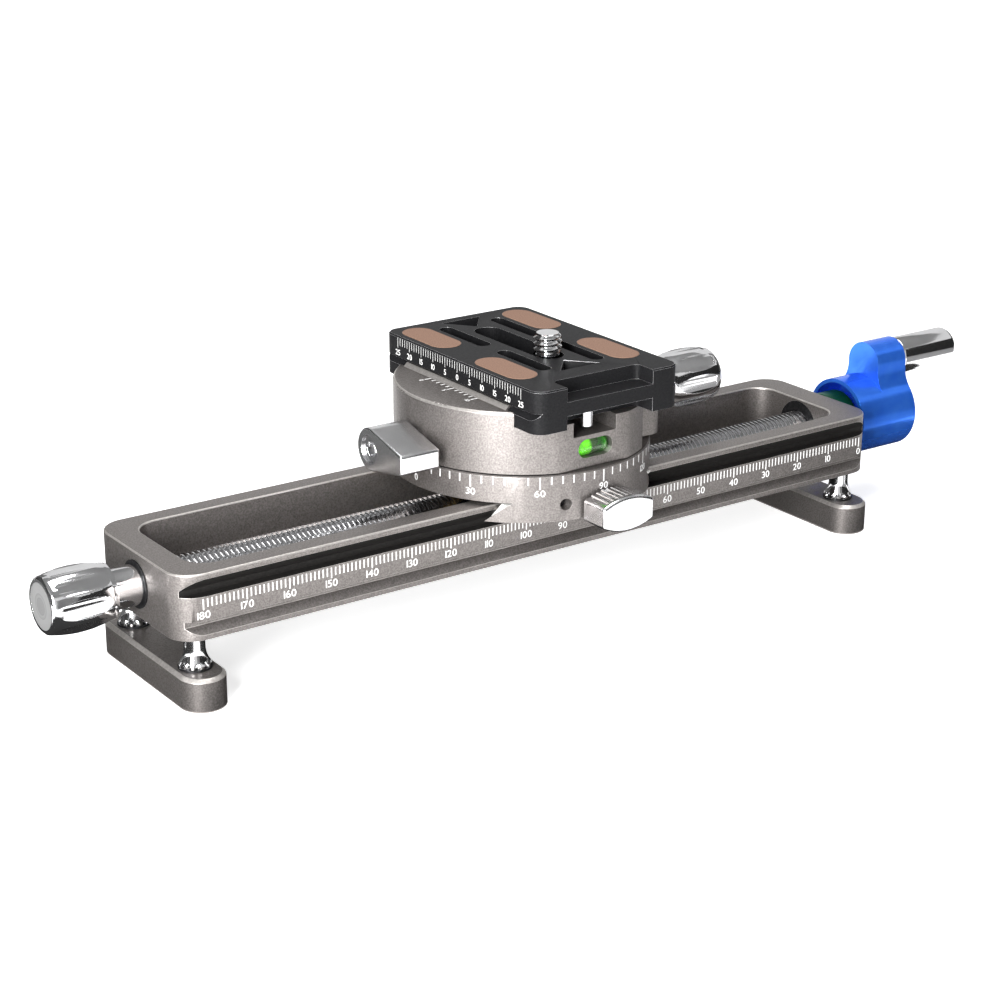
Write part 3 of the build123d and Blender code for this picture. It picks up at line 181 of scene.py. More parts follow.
def dress(node, body, finishes, edge, pick=None, segments=2, sharp=32):
    """A copy of a CAD piece, merged, with its hard edges bevelled and smooth normals.
    The bevels take the second finish. From a face's middle and normal pick gives the number
    of its finish, and a third finish runs over the bevels too."""
    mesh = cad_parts[node].data.copy()
    mesh.name = node + "_finished"
    mesh.materials.clear()
    for finish in finishes:
        mesh.materials.append(finish)
    welded = bmesh.new()
    welded.from_mesh(mesh)
    bmesh.ops.remove_doubles(welded, verts=welded.verts, dist=weld_gap)
    bmesh.ops.dissolve_limit(welded, angle_limit=flat_angle, verts=welded.verts, edges=welded.edges)
    welded.normal_update()
    for face in welded.faces:
        face.smooth = True
        face.material_index = pick(face.calc_center_median(), face.normal) if pick else 0
    welded.to_mesh(mesh)
    welded.free()
    mesh.set_sharp_from_angle(angle=math.radians(sharp))
    piece = new_object(node + "_finished", mesh)
    if edge:
        bevel = piece.modifiers.new("edge", "BEVEL")
        bevel.width = edge
        bevel.segments = segments
        bevel.limit_method = "ANGLE"
        bevel.angle_limit = math.radians(sharp)
        bevel.harden_normals = True
        bevel.material = len(finishes) > 1
        piece.data = evaluated_mesh(piece)
        piece.modifiers.clear()
    if pick and len(finishes) > 2:
        for polygon in piece.data.polygons:
            if pick(polygon.center, polygon.normal) == 2:
                polygon.material_index = 2
    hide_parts(node)
    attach(piece, body)
    return piece


def coat(node, finish):
    """A CAD piece that stays as it is gets its finish."""
    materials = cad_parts[node].data.materials
    materials.clear()
    materials.append(finish)


rail_low, rail_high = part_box("rail_body")
groove_low_z = 9.4 * mm
groove_high_z = 13.15 * mm
groove_depth = 4 * mm
side_skin = 0.02 * mm
top_round = 0.42 * mm


def rail_finish(middle, normal):
    """Painted shade, near black, in the guide grooves; painted highlight on the rounded top edges."""
    depth = rail_high.y - abs(middle.y)
    if groove_low_z < middle.z < groove_high_z and side_skin < depth < groove_depth:
        return 2 if abs(normal.x) < 0.02 else 0
    return int(middle.z > rail_high.z - top_round and 0.15 < normal.z < 0.95)


dress("rail_body", "rail", (titanium, painted_edge_highlight, groove_shade),
      firm_edge, rail_finish)

# ---- Printed scale of the rail -------------------------------------------------------------
# White ticks a millimetre apart and a number at each centimetre, printed on the strip
# between the guide groove and the dovetail.


def screen_ink():
    finish, tree, shader = new_finish("screen_ink", (0.9, 0.9, 0.89), 0.0, 0.55)
    tint(tree, shader, grain(tree, 0.2 * mm, 2), (0.86, 0.86, 0.85), (0.94, 0.94, 0.93))
    return finish


ink = screen_ink()
ink_relief = 0.03 * mm
capital_share = 0.7         # of the type size that a figure stands high
stroke_gain = 0.006         # of a figure's height, added round its strokes
figure_gap = 0.13           # of a figure's height, between two figures


def node_tree_of_ticks():
    """Geometry nodes: a row of thin bars along +X, hanging from y = 0, every nth longer."""
    tree = bpy.data.node_groups.new("tick_row", "GeometryNodeTree")
    sockets = {}
    for name, kind in (("Count", "NodeSocketInt"), ("Pitch", "NodeSocketFloat"),
                       ("Long every", "NodeSocketInt"), ("Short", "NodeSocketFloat"),
                       ("Long", "NodeSocketFloat"), ("Width", "NodeSocketFloat"),
                       ("Relief", "NodeSocketFloat"), ("Ink", "NodeSocketMaterial")):
        sockets[name] = tree.interface.new_socket(name, in_out="INPUT", socket_type=kind).identifier
    tree.interface.new_socket("Geometry", in_out="OUTPUT", socket_type="NodeSocketGeometry")
    given = tree.nodes.new("NodeGroupInput")
    result = tree.nodes.new("NodeGroupOutput")
    step = tree.nodes.new("ShaderNodeCombineXYZ")
    row = tree.nodes.new("GeometryNodeMeshLine")
    bar = tree.nodes.new("GeometryNodeMeshCube")
    hang = tree.nodes.new("GeometryNodeTransform")
    index = tree.nodes.new("GeometryNodeInputIndex")
    turn = tree.nodes.new("ShaderNodeMath")
    is_long = tree.nodes.new("ShaderNodeMath")
    length = tree.nodes.new("ShaderNodeMix")
    size = tree.nodes.new("ShaderNodeCombineXYZ")
    place = tree.nodes.new("GeometryNodeInstanceOnPoints")
    real = tree.nodes.new("GeometryNodeRealizeInstances")
    paint = tree.nodes.new("GeometryNodeSetMaterial")
    turn.operation = "FLOORED_MODULO"
    is_long.operation = "LESS_THAN"
    is_long.inputs[1].default_value = 0.5
    hang.inputs["Translation"].default_value = (0, -0.5, 0)
    for source, target in (
            (given.outputs["Pitch"], step.inputs["X"]),
            (given.outputs["Count"], row.inputs["Count"]),
            (step.outputs["Vector"], row.inputs["Offset"]),
            (bar.outputs["Mesh"], hang.inputs["Geometry"]),
            (index.outputs["Index"], turn.inputs[0]),
            (given.outputs["Long every"], turn.inputs[1]),
            (turn.outputs["Value"], is_long.inputs[0]),
            (is_long.outputs["Value"], length.inputs["Factor"]),
            (given.outputs["Short"], length.inputs["A"]),
            (given.outputs["Long"], length.inputs["B"]),
            (given.outputs["Width"], size.inputs["X"]),
            (length.outputs["Result"], size.inputs["Y"]),
            (given.outputs["Relief"], size.inputs["Z"]),
            (row.outputs["Mesh"], place.inputs["Points"]),
            (hang.outputs["Geometry"], place.inputs["Instance"]),
            (size.outputs["Vector"], place.inputs["Scale"]),
            (place.outputs["Instances"], real.inputs["Geometry"]),
            (real.outputs["Geometry"], paint.inputs["Geometry"]),
            (given.outputs["Ink"], paint.inputs["Material"]),
            (paint.outputs["Geometry"], result.inputs["Geometry"])):
        tree.links.new(source, target)
    return tree, sockets


tick_tree, tick_sockets = node_tree_of_ticks()


def ticks(count, pitch, every, short, long, width):
    """The tick row's plain mesh for these sizes."""
    holder = new_object("ticks", bpy.data.meshes.new("ticks"))
    row = holder.modifiers.new("ticks", "NODES")
    row.node_group = tick_tree
    for name, value in (("Count", count), ("Pitch", pitch), ("Long every", every),
                        ("Short", short), ("Long", long), ("Width", width),
                        ("Relief", ink_relief), ("Ink", ink)):
        row[tick_sockets[name]] = value
    mesh = evaluated_mesh(holder)
    bpy.data.objects.remove(holder)
    return mesh


def digit(figure, height, width):
    """One figure as a thin mesh, its left edge at x = 0, hanging from y = 0."""
    words = bpy.data.curves.new("digit", "FONT")
    words.body = figure
    words.size = height / capital_share
    words.extrude = ink_relief / 2
    words.offset = height * stroke_gain
    words.resolution_u = 4
    holder = new_object("digit", words)
    mesh = evaluated_mesh(holder)
    bpy.data.objects.remove(holder)
    mesh.transform(Matrix.Diagonal((width, 1, 1, 1)))
    left = min(vertex.co.x for vertex in mesh.vertices)
    top = max(vertex.co.y for vertex in mesh.vertices)
    mesh.transform(Matrix.Translation((-left, -top, 0)))
    return mesh


def numeral(text, height, width=1.1):
    """A number's figures set close together, centred on x = 0."""
    joined = bmesh.new()
    gap = figure_gap * height
    along = 0
    for figure in text:
        mesh = digit(figure, height, width)
        mesh.transform(Matrix.Translation((along, 0, 0)))
        joined.from_mesh(mesh)
        along = max(vertex.co.x for vertex in mesh.vertices) + gap
    bmesh.ops.translate(joined, vec=((gap - along) / 2, 0, 0), verts=joined.verts)
    mesh = bpy.data.meshes.new("numeral")
    joined.to_mesh(mesh)
    joined.free()
    return mesh


def printed(name, parts, place, body, radius=None):
    """Joins marks given as (mesh, x, y), puts them on their surface and fixes them.
    With a radius they are wrapped round a cylinder about Z, which place then centres."""
    joined = bmesh.new()
    for mesh, x, y in parts:
        mesh.transform(Matrix.Translation((x, y, 0)))
        joined.from_mesh(mesh)
    if radius:
        for vertex in joined.verts:
            turn = vertex.co.x / radius
            out = radius + vertex.co.z
            vertex.co = Vector((out * math.sin(turn), -out * math.cos(turn), vertex.co.y))
    bmesh.ops.transform(joined, matrix=place, verts=joined.verts)
    bmesh.ops.recalc_face_normals(joined, faces=joined.faces)
    mesh = bpy.data.meshes.new(name)
    joined.to_mesh(mesh)
    joined.free()
    mesh.materials.clear()
    mesh.materials.append(ink)
    for polygon in mesh.polygons:
        polygon.material_index = 0
    piece = new_object(name, mesh)
    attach(piece, body)
    return piece


def face_frame(right, up, origin):
    """Matrix that puts a drawing's right and up along two directions at a point."""
    right, up = Vector(right), Vector(up)
    out = right.cross(up)
    return Matrix((
        (right[0], up[0], out[0], origin[0]),
        (right[1], up[1], out[1], origin[1]),
        (right[2], up[2], out[2], origin[2]),
        (0, 0, 0, 1),
    ))


scale_zero_x = 90.43 * mm
scale_span = 180
tick_short, tick_long, tick_width = 1.85 * mm, 2.35 * mm, 0.27 * mm
tick_top_z = 9.0 * mm
number_top_z = 6.35 * mm
number_height = 1.62 * mm

rail_marks = [(ticks(scale_span + 1, 1 * mm, 10, tick_short, tick_long, tick_width),
               -scale_span * mm, tick_top_z)]
for value in range(0, scale_span + 1, 10):
    rail_marks.append((numeral(str(value), number_height), -value * mm, number_top_z))
printed("rail_scale", rail_marks,
        face_frame((1, 0, 0), (0, 0, 1), (scale_zero_x, rail_low.y, 0)), "rail")

# ---- Bushes --------------------------------------------------------------------------------
# Plain bearings of blackened steel, pressed into the rail's end walls. The left one shows
# as a dark lip behind the knob, the right one round the screw's end in the pocket.


def blackened_steel():
    finish, tree, shader = new_finish("blackened_steel", (0.03, 0.03, 0.032), 0.8, 0.4)
    vary_roughness(tree, shader, grain(tree, 0.8 * mm, 2), 0.3, 0.5)
    tint(tree, shader, grain(tree, 0.6 * mm, 3), (0.02, 0.02, 0.022), (0.05, 0.05, 0.052))
    return finish


def machined_brass():
    finish, tree, shader = new_finish("machined_brass", (0.6, 0.42, 0.16), 1.0, 0.28)
    vary_roughness(tree, shader, grain(tree, 0.6 * mm, 2), 0.22, 0.38)
    tint(tree, shader, grain(tree, 2 * mm, 3), (0.5, 0.34, 0.12), (0.66, 0.47, 0.2))
    return finish


blackened = blackened_steel()
brass = machined_brass()
coat("left_bush", blackened)
coat("right_bush", blackened)

# ---- Lead screw ----------------------------------------------------------------------------
# Ground steel screw with a rolled thread, lying in the pocket. The thread is drawn from
# end to end, also where the bushes, the knob and the crank hide it.


def ground_steel():
    finish, tree, shader = new_finish("ground_steel", (0.7, 0.7, 0.71), 1.0, 0.14)
    vary_roughness(tree, shader, grain(tree, 0.8 * mm, 2), 0.1, 0.18)
    tint(tree, shader, grain(tree, 1.5 * mm, 2), (0.66, 0.66, 0.67), (0.76, 0.76, 0.77))
    return finish


steel = ground_steel()


def threaded_rod(name, radius, root, pitch, start, end, lead_in, segments, place):
    """A closed rod along +Z with a rounded right-hand thread from start to end.
    The profile gives the radius at shares of a turn; over the lead-in the crest rises."""
    profile = ((0.0, root), (0.14, root), (0.42, radius), (0.62, radius), (0.9, root))
    turns = math.ceil((end - start) / pitch) + 1
    rings = []
    rod = bmesh.new()
    for turn_index in range(-1, turns):
        for along, reach in profile:
            ring = []
            for segment in range(segments):
                angle = 2 * math.pi * segment / segments
                z = start + (turn_index + along + segment / segments) * pitch
                inside = min(max(z, start), end)
                room = min(inside - start, end - inside)
                limit = root + (radius - root) * min(1, room / lead_in) if lead_in else radius
                r = min(reach, limit)
                ring.append(rod.verts.new((r * math.cos(angle), r * math.sin(angle), inside)))
            rings.append(ring)
    for low, high in zip(rings, rings[1:]):
        for segment in range(segments - 1):
            following = segment + 1
            rod.faces.new((low[segment], low[following], high[following], high[segment]))
    steps = len(profile)
    for index in range(len(rings) - steps - 1):
        low_last, high_last = rings[index][-1], rings[index + 1][-1]
        low_first, high_first = rings[index + steps][0], rings[index + steps + 1][0]
        rod.faces.new((low_last, low_first, high_first, high_last))
    bmesh.ops.remove_doubles(rod, verts=rod.verts, dist=0.0005 * mm)
    open_edges = [edge for edge in rod.edges if edge.is_boundary]
    bmesh.ops.holes_fill(rod, edges=open_edges, sides=0)
    bmesh.ops.recalc_face_normals(rod, faces=rod.faces)
    bmesh.ops.transform(rod, matrix=place, verts=rod.verts)
    mesh = bpy.data.meshes.new(name)
    rod.to_mesh(mesh)
    rod.free()
    for polygon in mesh.polygons:
        polygon.use_smooth = True
    mesh.set_sharp_from_angle(angle=math.radians(50))
    piece = new_object(name, mesh)
    return piece


screw_pitch = 1.25 * mm
screw_thread_depth = 0.72 * mm
screw_low, screw_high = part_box("lead_screw")
screw_axis_z = (screw_low.z + screw_high.z) / 2
screw_radius = (screw_high.z - screw_low.z) / 2
along_x = face_frame((0, 1, 0), (0, 0, 1), (0, 0, screw_axis_z))
lead_thread = threaded_rod("lead_screw_threaded", screw_radius, screw_radius - screw_thread_depth,
                           screw_pitch, screw_low.x, screw_high.x, 0, 32, along_x)
lead_thread.data.materials.append(steel)
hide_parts("lead_screw")
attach(lead_thread, "drive")

# ---- Thrust collar -------------------------------------------------------------------------
# Green anodised ring between the rail's end and the crank's cup.


def anodised(name, dark, light, roughness, metallic):
    finish, tree, shader = new_finish(name, light, metallic, roughness)
    vary_roughness(tree, shader, grain(tree, 0.5 * mm, 2), roughness - 0.04, roughness + 0.06)
    tint(tree, shader, grain(tree, 3 * mm, 2), dark, light)
    return finish


green = anodised("green_anodised_aluminium", (0.004, 0.08, 0.03), (0.008, 0.12, 0.045), 0.3, 0.8)
dress("thrust_collar", "drive", (green,), 0.15 * mm)

# ---- Left knob -----------------------------------------------------------------------------
# Turned brass barrel with eight milled scallops, polished and chrome plated, with a grey
# disc pressed into its end.


def polished_chrome(name, roughness):
    finish, tree, shader = new_finish(name, (0.8, 0.8, 0.81), 1.0, roughness)
    vary_roughness(tree, shader, grain(tree, 0.7 * mm, 2), roughness * 0.8, roughness * 1.3)
    tint(tree, shader, grain(tree, 4 * mm, 2), (0.76, 0.76, 0.77), (0.83, 0.83, 0.84))
    return finish


chrome = polished_chrome("polished_chrome", 0.1)


ring_reach = 6 * mm         # the colour ramp ends here, past the disc's rim


def turned_disc(name, axis_z):
    """Grey disc with two faint turned rings about an axis along X."""
    finish, tree, shader = new_finish(name, (0.3, 0.3, 0.3), 0.5, 0.4)
    place = tree.nodes.new("ShaderNodeTexCoord")
    centre = tree.nodes.new("ShaderNodeMapping")
    reach = tree.nodes.new("ShaderNodeVectorMath")
    widths = tree.nodes.new("ShaderNodeMath")
    rings = tree.nodes.new("ShaderNodeValToRGB")
    centre.inputs["Location"].default_value = (0, 0, -axis_z)
    centre.inputs["Scale"].default_value = (0, 1, 1)
    reach.operation = "LENGTH"
    widths.operation = "MULTIPLY"
    widths.inputs[1].default_value = 1 / ring_reach
    rings.color_ramp.elements[0].color = (0.29, 0.29, 0.29, 1)
    rings.color_ramp.elements[1].color = (0.31, 0.31, 0.31, 1)
    for position, level in ((0.28, 0.29), (0.3, 0.22), (0.32, 0.36), (0.42, 0.31), (0.44, 0.24),
                            (0.46, 0.37)):
        rings.color_ramp.elements.new(position).color = (level, level, level, 1)
    tree.links.new(place.outputs["Object"], centre.inputs["Vector"])
    tree.links.new(centre.outputs["Vector"], reach.inputs[0])
    tree.links.new(reach.outputs["Value"], widths.inputs[0])
    tree.links.new(widths.outputs["Value"], rings.inputs["Fac"])
    tree.links.new(rings.outputs["Color"], shader.inputs["Base Color"])
    vary_roughness(tree, shader, grain(tree, 0.4 * mm, 2), 0.34, 0.46)
    return finish


dress("left_knob", "drive", (chrome,), firm_edge)
dress("left_knob_cap", "drive", (turned_disc("left_disc", screw_axis_z),), fine_edge)

# ---- Crank ---------------------------------------------------------------------------------
# Blue anodised aluminium arm with a cup over the collar, drawn onto the lead screw by a
# black cap screw.

blue = anodised("blue_anodised_aluminium", (0.035, 0.19, 0.95), (0.05, 0.23, 1.0), 0.2, 0.7)
dress("crank_arm", "drive", (blue,), 0.4 * mm, None, 3)
coat("crank_screw", blackened)
coat("handle_pin", steel)

# ---- Grip ----------------------------------------------------------------------------------
# Chrome plated barrel that turns on a headed pin in the crank's arm, closed by a flush
# plug of the same chrome.

dress("crank_handle", "handle", (chrome,), fine_edge)
coat("handle_plug", chrome)

# ---- Levelling feet ------------------------------------------------------------------------
# Two grey cross bars, each hung under the rail by a pair of fluted chrome screws that
# press on dark washers and are held by clips inside the bar.


def top_edge_finish(middle, normal):
    """Painted highlight: the lighter finish on slopes that look up, such as a chamfer or a rounded
    edge.
    """
    return int(0.3 < normal.z < 0.93)


for side in ("left", "right"):
    dress("foot_bar_" + side, "foot_" + side, (titanium, painted_edge_highlight),
          fine_edge, top_edge_finish)
    coat("foot_washers_" + side, blackened)
    for end in ("front", "rear"):
        dress(f"level_screw_{side}_{end}", f"level_{side}_{end}", (chrome,), 0)
        coat(f"level_clip_{side}_{end}", blackened)

# ---- Carriage ------------------------------------------------------------------------------
# Round grey base that slides on the rail, with a printed degree ring just under the
# seam. Under it hang the brass nut, the gib strips and the wear pads.


def plain_acetal():
    finish, tree, shader = new_finish("plain_acetal", (0.75, 0.75, 0.72), 0.0, 0.4)
    tint(tree, shader, grain(tree, 1 * mm, 2), (0.7, 0.7, 0.67), (0.8, 0.8, 0.77))
    return finish


acetal = plain_acetal()
dress("carriage_base", "carriage", (titanium, painted_edge_highlight), fine_edge)
coat("drive_nut", brass)
for node in ("drive_nut_screws", "gib_set_screw"):
    coat(node, blackened)
for node in ("gib_front", "gib_rear", "slide_pad_front", "slide_pad_rear"):
    coat(node, acetal)

base_low, base_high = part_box("carriage_base")
base_radius = (base_high.x - base_low.x) / 2
pan_x = (base_high.x + base_low.x) / 2
degree_pitch = base_radius * math.radians(5)
degree_start = base_radius * math.radians(-87.6)     # the zero points nearly along -X
degree_top = -0.3 * mm
degree_number_top = -3.25 * mm
degree_short, degree_long, degree_width = 1.75 * mm, 2.8 * mm, 0.28 * mm
degree_number_height = 1.5 * mm
degree_marks = [(ticks(72, degree_pitch, 6, degree_short, degree_long, degree_width),
                 degree_start, degree_top)]
for value in range(0, 360, 30):
    degree_marks.append((numeral(str(value), degree_number_height, 1.15),
                         degree_start + base_radius * math.radians(value), degree_number_top))
printed("degree_ring", degree_marks, Matrix.Translation((pan_x, 0, base_high.z)),
        "carriage", base_radius)

# ---- Carriage lock -------------------------------------------------------------------------
# Wing-shaped chrome thumb knob with ridged sides, on its clamping screw.

satin_chrome = polished_chrome("satin_chrome", 0.22)
dress("lock_knob", "lock", (satin_chrome,), fine_edge)
coat("lock_screw", steel)

# ---- Panning clamp -------------------------------------------------------------------------
# Grey upper body with the fixed jaw, a printed vernier on its top left and a green
# spirit level let into its flat front.

dress("clamp_body", "pan", (titanium, painted_edge_highlight), fine_edge,
      top_edge_finish)
for node in ("pan_keeper", "jaw_springs"):
    coat(node, steel)
coat("pan_keeper_screws", blackened)
coat("brake_pin", brass)

vernier_pitch = 1.81 * mm
vernier_right_x = -15.0 * mm
vernier_rear_y = 8.7 * mm
vernier_top_z = 35.6 * mm
vernier_short, vernier_long, vernier_width = 2.1 * mm, 2.8 * mm, 0.36 * mm
vernier_number_height = 1.1 * mm
vernier_number_drop = 3.1 * mm
vernier_marks = [(ticks(11, vernier_pitch, 5, vernier_short, vernier_long, vernier_width), 0, 0)]
for value in (0, 5, 10):
    vernier_marks.append((numeral(str(value), vernier_number_height), value * vernier_pitch,
                          -vernier_number_drop))
printed("vernier", vernier_marks,
        face_frame((0, -1, 0), (1, 0, 0), (vernier_right_x, vernier_rear_y, vernier_top_z)), "pan")


def clear_glass():
    finish, tree, shader = new_finish("clear_glass", (0.93, 1.0, 0.9), 0.0, 0.03)
    shader.inputs["Transmission Weight"].default_value = 1.0
    shader.inputs["IOR"].default_value = 1.47
    vary_roughness(tree, shader, grain(tree, 2 * mm, 2), 0.02, 0.05)
    return finish


def green_liquid(middle_x, half_length):
    """Painted light and shade: glowing bright green at the lit left end, nearly black where the vial
    lies in its bore.
    """
    finish, tree, shader = new_finish("green_liquid", (0.3, 0.85, 0.05), 0.0, 0.15)
    shader.inputs["IOR"].default_value = 1.33
    place = tree.nodes.new("ShaderNodeTexCoord")
    apart = tree.nodes.new("ShaderNodeSeparateXYZ")
    span = tree.nodes.new("ShaderNodeMapRange")
    colours = tree.nodes.new("ShaderNodeValToRGB")
    span.inputs["From Min"].default_value = middle_x - half_length
    span.inputs["From Max"].default_value = middle_x + half_length
    # Painted light and shade along X: bright green at the left, nearly black in the middle, dim green
    # at the right end.
    colours.color_ramp.elements[0].color = (0.16, 0.75, 0.02, 1)
    colours.color_ramp.elements[1].color = (0.02, 0.16, 0.01, 1)
    for position, colour in ((0.38, (0.22, 0.8, 0.05)), (0.44, (0.06, 0.1, 0.05)),
                             (0.7, (0.03, 0.05, 0.03)), (0.82, (0.03, 0.3, 0.01))):
        colours.color_ramp.elements.new(position).color = (*colour, 1)
    tree.links.new(place.outputs["Object"], apart.inputs["Vector"])
    tree.links.new(apart.outputs["X"], span.inputs["Value"])
    tree.links.new(span.outputs["Result"], colours.inputs["Fac"])
    tree.links.new(colours.outputs["Color"], shader.inputs["Base Color"])
    # The liquid glows with its own colour, a painted light.
    tree.links.new(colours.outputs["Color"], shader.inputs["Emission Color"])
    shader.inputs["Emission Strength"].default_value = 0.6
    vary_roughness(tree, shader, grain(tree, 1.5 * mm, 2), 0.1, 0.2)
    return finish


vial_low, vial_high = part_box("level_vial")
dress("level_vial", "pan", (clear_glass(),), 0)
coat("vial_liquid", green_liquid((vial_low.x + vial_high.x) / 2, (vial_high.x - vial_low.x) / 2))

# ---- Pan lock lever ------------------------------------------------------------------------
# Satin chrome drop lever held on its spindle by a hexagon socket screw.

dress("pan_lever", "lever", (satin_chrome,), firm_edge)
dress("lever_screw", "lever", (chrome,), 0.15 * mm)
coat("lever_spindle", steel)

# ---- Clamp jaw and its knob ----------------------------------------------------------------
# Grey moving jaw on two steel pins, pulled in by a chrome knob like the left one.

dress("clamp_jaw", "jaw", (titanium, painted_edge_highlight), fine_edge,
      top_edge_finish)
coat("jaw_guide_pins", steel)
clamp_cap_low, clamp_cap_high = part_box("clamp_knob_cap")
clamp_axis_z = (clamp_cap_low.z + clamp_cap_high.z) / 2
dress("clamp_knob", "clamp", (chrome,), firm_edge)
dress("clamp_knob_cap", "clamp", (turned_disc("clamp_disc", clamp_axis_z),), fine_edge)
coat("clamp_screw", steel)

# ---- Quick release plate -------------------------------------------------------------------
# Black anodised aluminium plate whose bevelled edges carry a painted grey highlight, four
# grip pads in shallow beds and a scale on its left side.


def black_anodised():
    finish, tree, shader = new_finish("black_anodised_aluminium", (0.012, 0.012, 0.013), 0.0, 0.45)
    shader.inputs["Specular IOR Level"].default_value = 0.1
    speckle = grain(tree, 0.4 * mm, 3)
    tint(tree, shader, speckle, (0.008, 0.008, 0.009), (0.016, 0.016, 0.017))
    vary_roughness(tree, shader, grain(tree, 0.6 * mm, 2), 0.4, 0.52)
    emboss(tree, shader, speckle, 0.01 * mm, 0.3)
    return finish


def diamond_cut():
    """Painted highlight: a bright grey on the plate's bevels, where light catches them."""
    finish, tree, shader = new_finish("diamond_cut", (0.55, 0.55, 0.56), 0.8, 0.35)
    tint(tree, shader, grain(tree, 0.6 * mm, 3), (0.48, 0.48, 0.49), (0.62, 0.62, 0.63))
    vary_roughness(tree, shader, grain(tree, 0.5 * mm, 2), 0.26, 0.38)
    return finish


black = black_anodised()
dress("qr_plate", "plate", (black, diamond_cut()), 0.16 * mm)


def grip_pad():
    """Cork and rubber, brown with light and dark specks."""
    finish, tree, shader = new_finish("grip_pad", (0.29, 0.17, 0.115), 0.0, 0.85)
    speckle = grain(tree, 0.3 * mm, 5)
    tint(tree, shader, speckle, (0.215, 0.122, 0.083), (0.285, 0.17, 0.12), 0.35, 0.65)
    vary_roughness(tree, shader, grain(tree, 0.5 * mm, 3), 0.75, 0.95)
    emboss(tree, shader, speckle, 0.05 * mm, 0.7)
    return finish


pad_finish = grip_pad()
for index in range(1, 5):
    dress(f"plate_pad_{index}", "plate", (pad_finish,), firm_edge)
coat("plate_stop_screws", chrome)

plate_low, plate_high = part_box("qr_plate")
plate_mid_y = (plate_low.y + plate_high.y) / 2
plate_tick_pitch = 0.96 * mm
plate_tick_top = 41.55 * mm
plate_number_top = 38.75 * mm
plate_number_height = 1.3 * mm
plate_short, plate_long, plate_tick_width = 1.75 * mm, 2.35 * mm, 0.11 * mm
plate_marks = [(ticks(51, plate_tick_pitch, 5, plate_short, plate_long, plate_tick_width),
                -25 * plate_tick_pitch, plate_tick_top)]
for value in range(-25, 26, 5):
    plate_marks.append((numeral(str(abs(value)), plate_number_height), value * plate_tick_pitch,
                        plate_number_top))
printed("plate_scale", plate_marks,
        face_frame((0, -1, 0), (0, 0, 1), (plate_low.x, plate_mid_y, 0)), "plate")

# ---- Camera screw --------------------------------------------------------------------------
# Chrome quarter inch screw with a slotted head under the plate, held by a thin washer.

camera_low, camera_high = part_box("camera_screw")
camera_x = (camera_low.x + camera_high.x) / 2
camera_y = (camera_low.y + camera_high.y) / 2
thread_start_z = 42.0 * mm
stud_radius = 3.175 * mm
stud_pitch = 1.27 * mm
stud_thread_depth = 0.68 * mm
stud_lead_in = 0.8 * mm
camera_stud = threaded_rod("camera_screw_threaded", stud_radius, stud_radius - stud_thread_depth,
                           stud_pitch, thread_start_z, camera_high.z, stud_lead_in, 36,
                           Matrix.Translation((camera_x, camera_y, 0)))

# The screw's head and shank below the thread are the CAD piece, cut off and joined on.
below = bmesh.new()
below.from_mesh(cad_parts["camera_screw"].data)
bmesh.ops.remove_doubles(below, verts=below.verts, dist=weld_gap)
bmesh.ops.bisect_plane(below, geom=[*below.verts, *below.edges, *below.faces],
                       plane_co=(0, 0, thread_start_z), plane_no=(0, 0, 1), clear_outer=True)
bmesh.ops.holes_fill(below, edges=[edge for edge in below.edges if edge.is_boundary], sides=0)
for face in below.faces:
    face.material_index = 0
below.from_mesh(camera_stud.data)
below.to_mesh(camera_stud.data)
below.free()
camera_stud.data.set_sharp_from_angle(angle=math.radians(40))
camera_stud.data.materials.append(chrome)
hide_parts("camera_screw")
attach(camera_stud, "camera")
coat("screw_washer", blackened)

# ---- Floor, lamps and background -----------------------------------------------------------
# White table and white surroundings, a tall narrow soft lamp at the left and a broad one
# above, and grey cards that only gloss sees, which give the chrome its contrast.

floor_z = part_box("foot_bar_left")[0].z


def looked_at(tree):
    """1 for what the camera sees, straight, in gloss or through glass, and 0 for light."""
    path = tree.nodes.new("ShaderNodeLightPath")
    gloss = tree.nodes.new("ShaderNodeMath")
    seen = tree.nodes.new("ShaderNodeMath")
    gloss.operation = "MAXIMUM"
    seen.operation = "MAXIMUM"
    tree.links.new(path.outputs["Is Glossy Ray"], gloss.inputs[0])
    tree.links.new(path.outputs["Is Transmission Ray"], gloss.inputs[1])
    tree.links.new(path.outputs["Is Camera Ray"], seen.inputs[0])
    tree.links.new(gloss.outputs["Value"], seen.inputs[1])
    return seen.outputs["Value"]


def white_table():
    """White under the object, brighter where it is looked at, with the shadow kept."""
    finish, tree, shader = new_finish("white_table", (0.85, 0.85, 0.85), 0.0, 0.9)
    shader.inputs["Specular IOR Level"].default_value = 0.0
    lift = tree.nodes.new("ShaderNodeMath")
    lift.operation = "MULTIPLY"
    lift.inputs[1].default_value = 0.72
    shader.inputs["Emission Color"].default_value = (1, 1, 1, 1)
    tree.links.new(looked_at(tree), lift.inputs[0])
    tree.links.new(lift.outputs["Value"], shader.inputs["Emission Strength"])
    return finish


def lying(left, right, near, far, height):
    """Corners of a level card."""
    return [(left, near, height), (right, near, height), (right, far, height), (left, far, height)]


def flat_sheet(name, corners, finish):
    """One four-cornered face."""
    mesh = bpy.data.meshes.new(name)
    mesh.from_pydata(corners, [], [(0, 1, 2, 3)])
    mesh.materials.append(finish)
    sheet = new_object(name, mesh)
    return sheet


table_half = 3.0
flat_sheet("table_top", lying(-table_half, table_half, -table_half, table_half, floor_z), white_table())


def soft_lamp(name, power, width, height, place, target):
    """Rectangular lamp that faces a point."""
    lamp_data = bpy.data.lights.new(name, "AREA")
    lamp_data.shape = "RECTANGLE"
    lamp_data.size = width
    lamp_data.size_y = height
    lamp_data.energy = power
    lamp = new_object(name, lamp_data)
    lamp.location = place
    lamp.rotation_mode = "QUATERNION"
    lamp.rotation_quaternion = (Vector(target) - Vector(place)).to_track_quat("-Z", "Y")


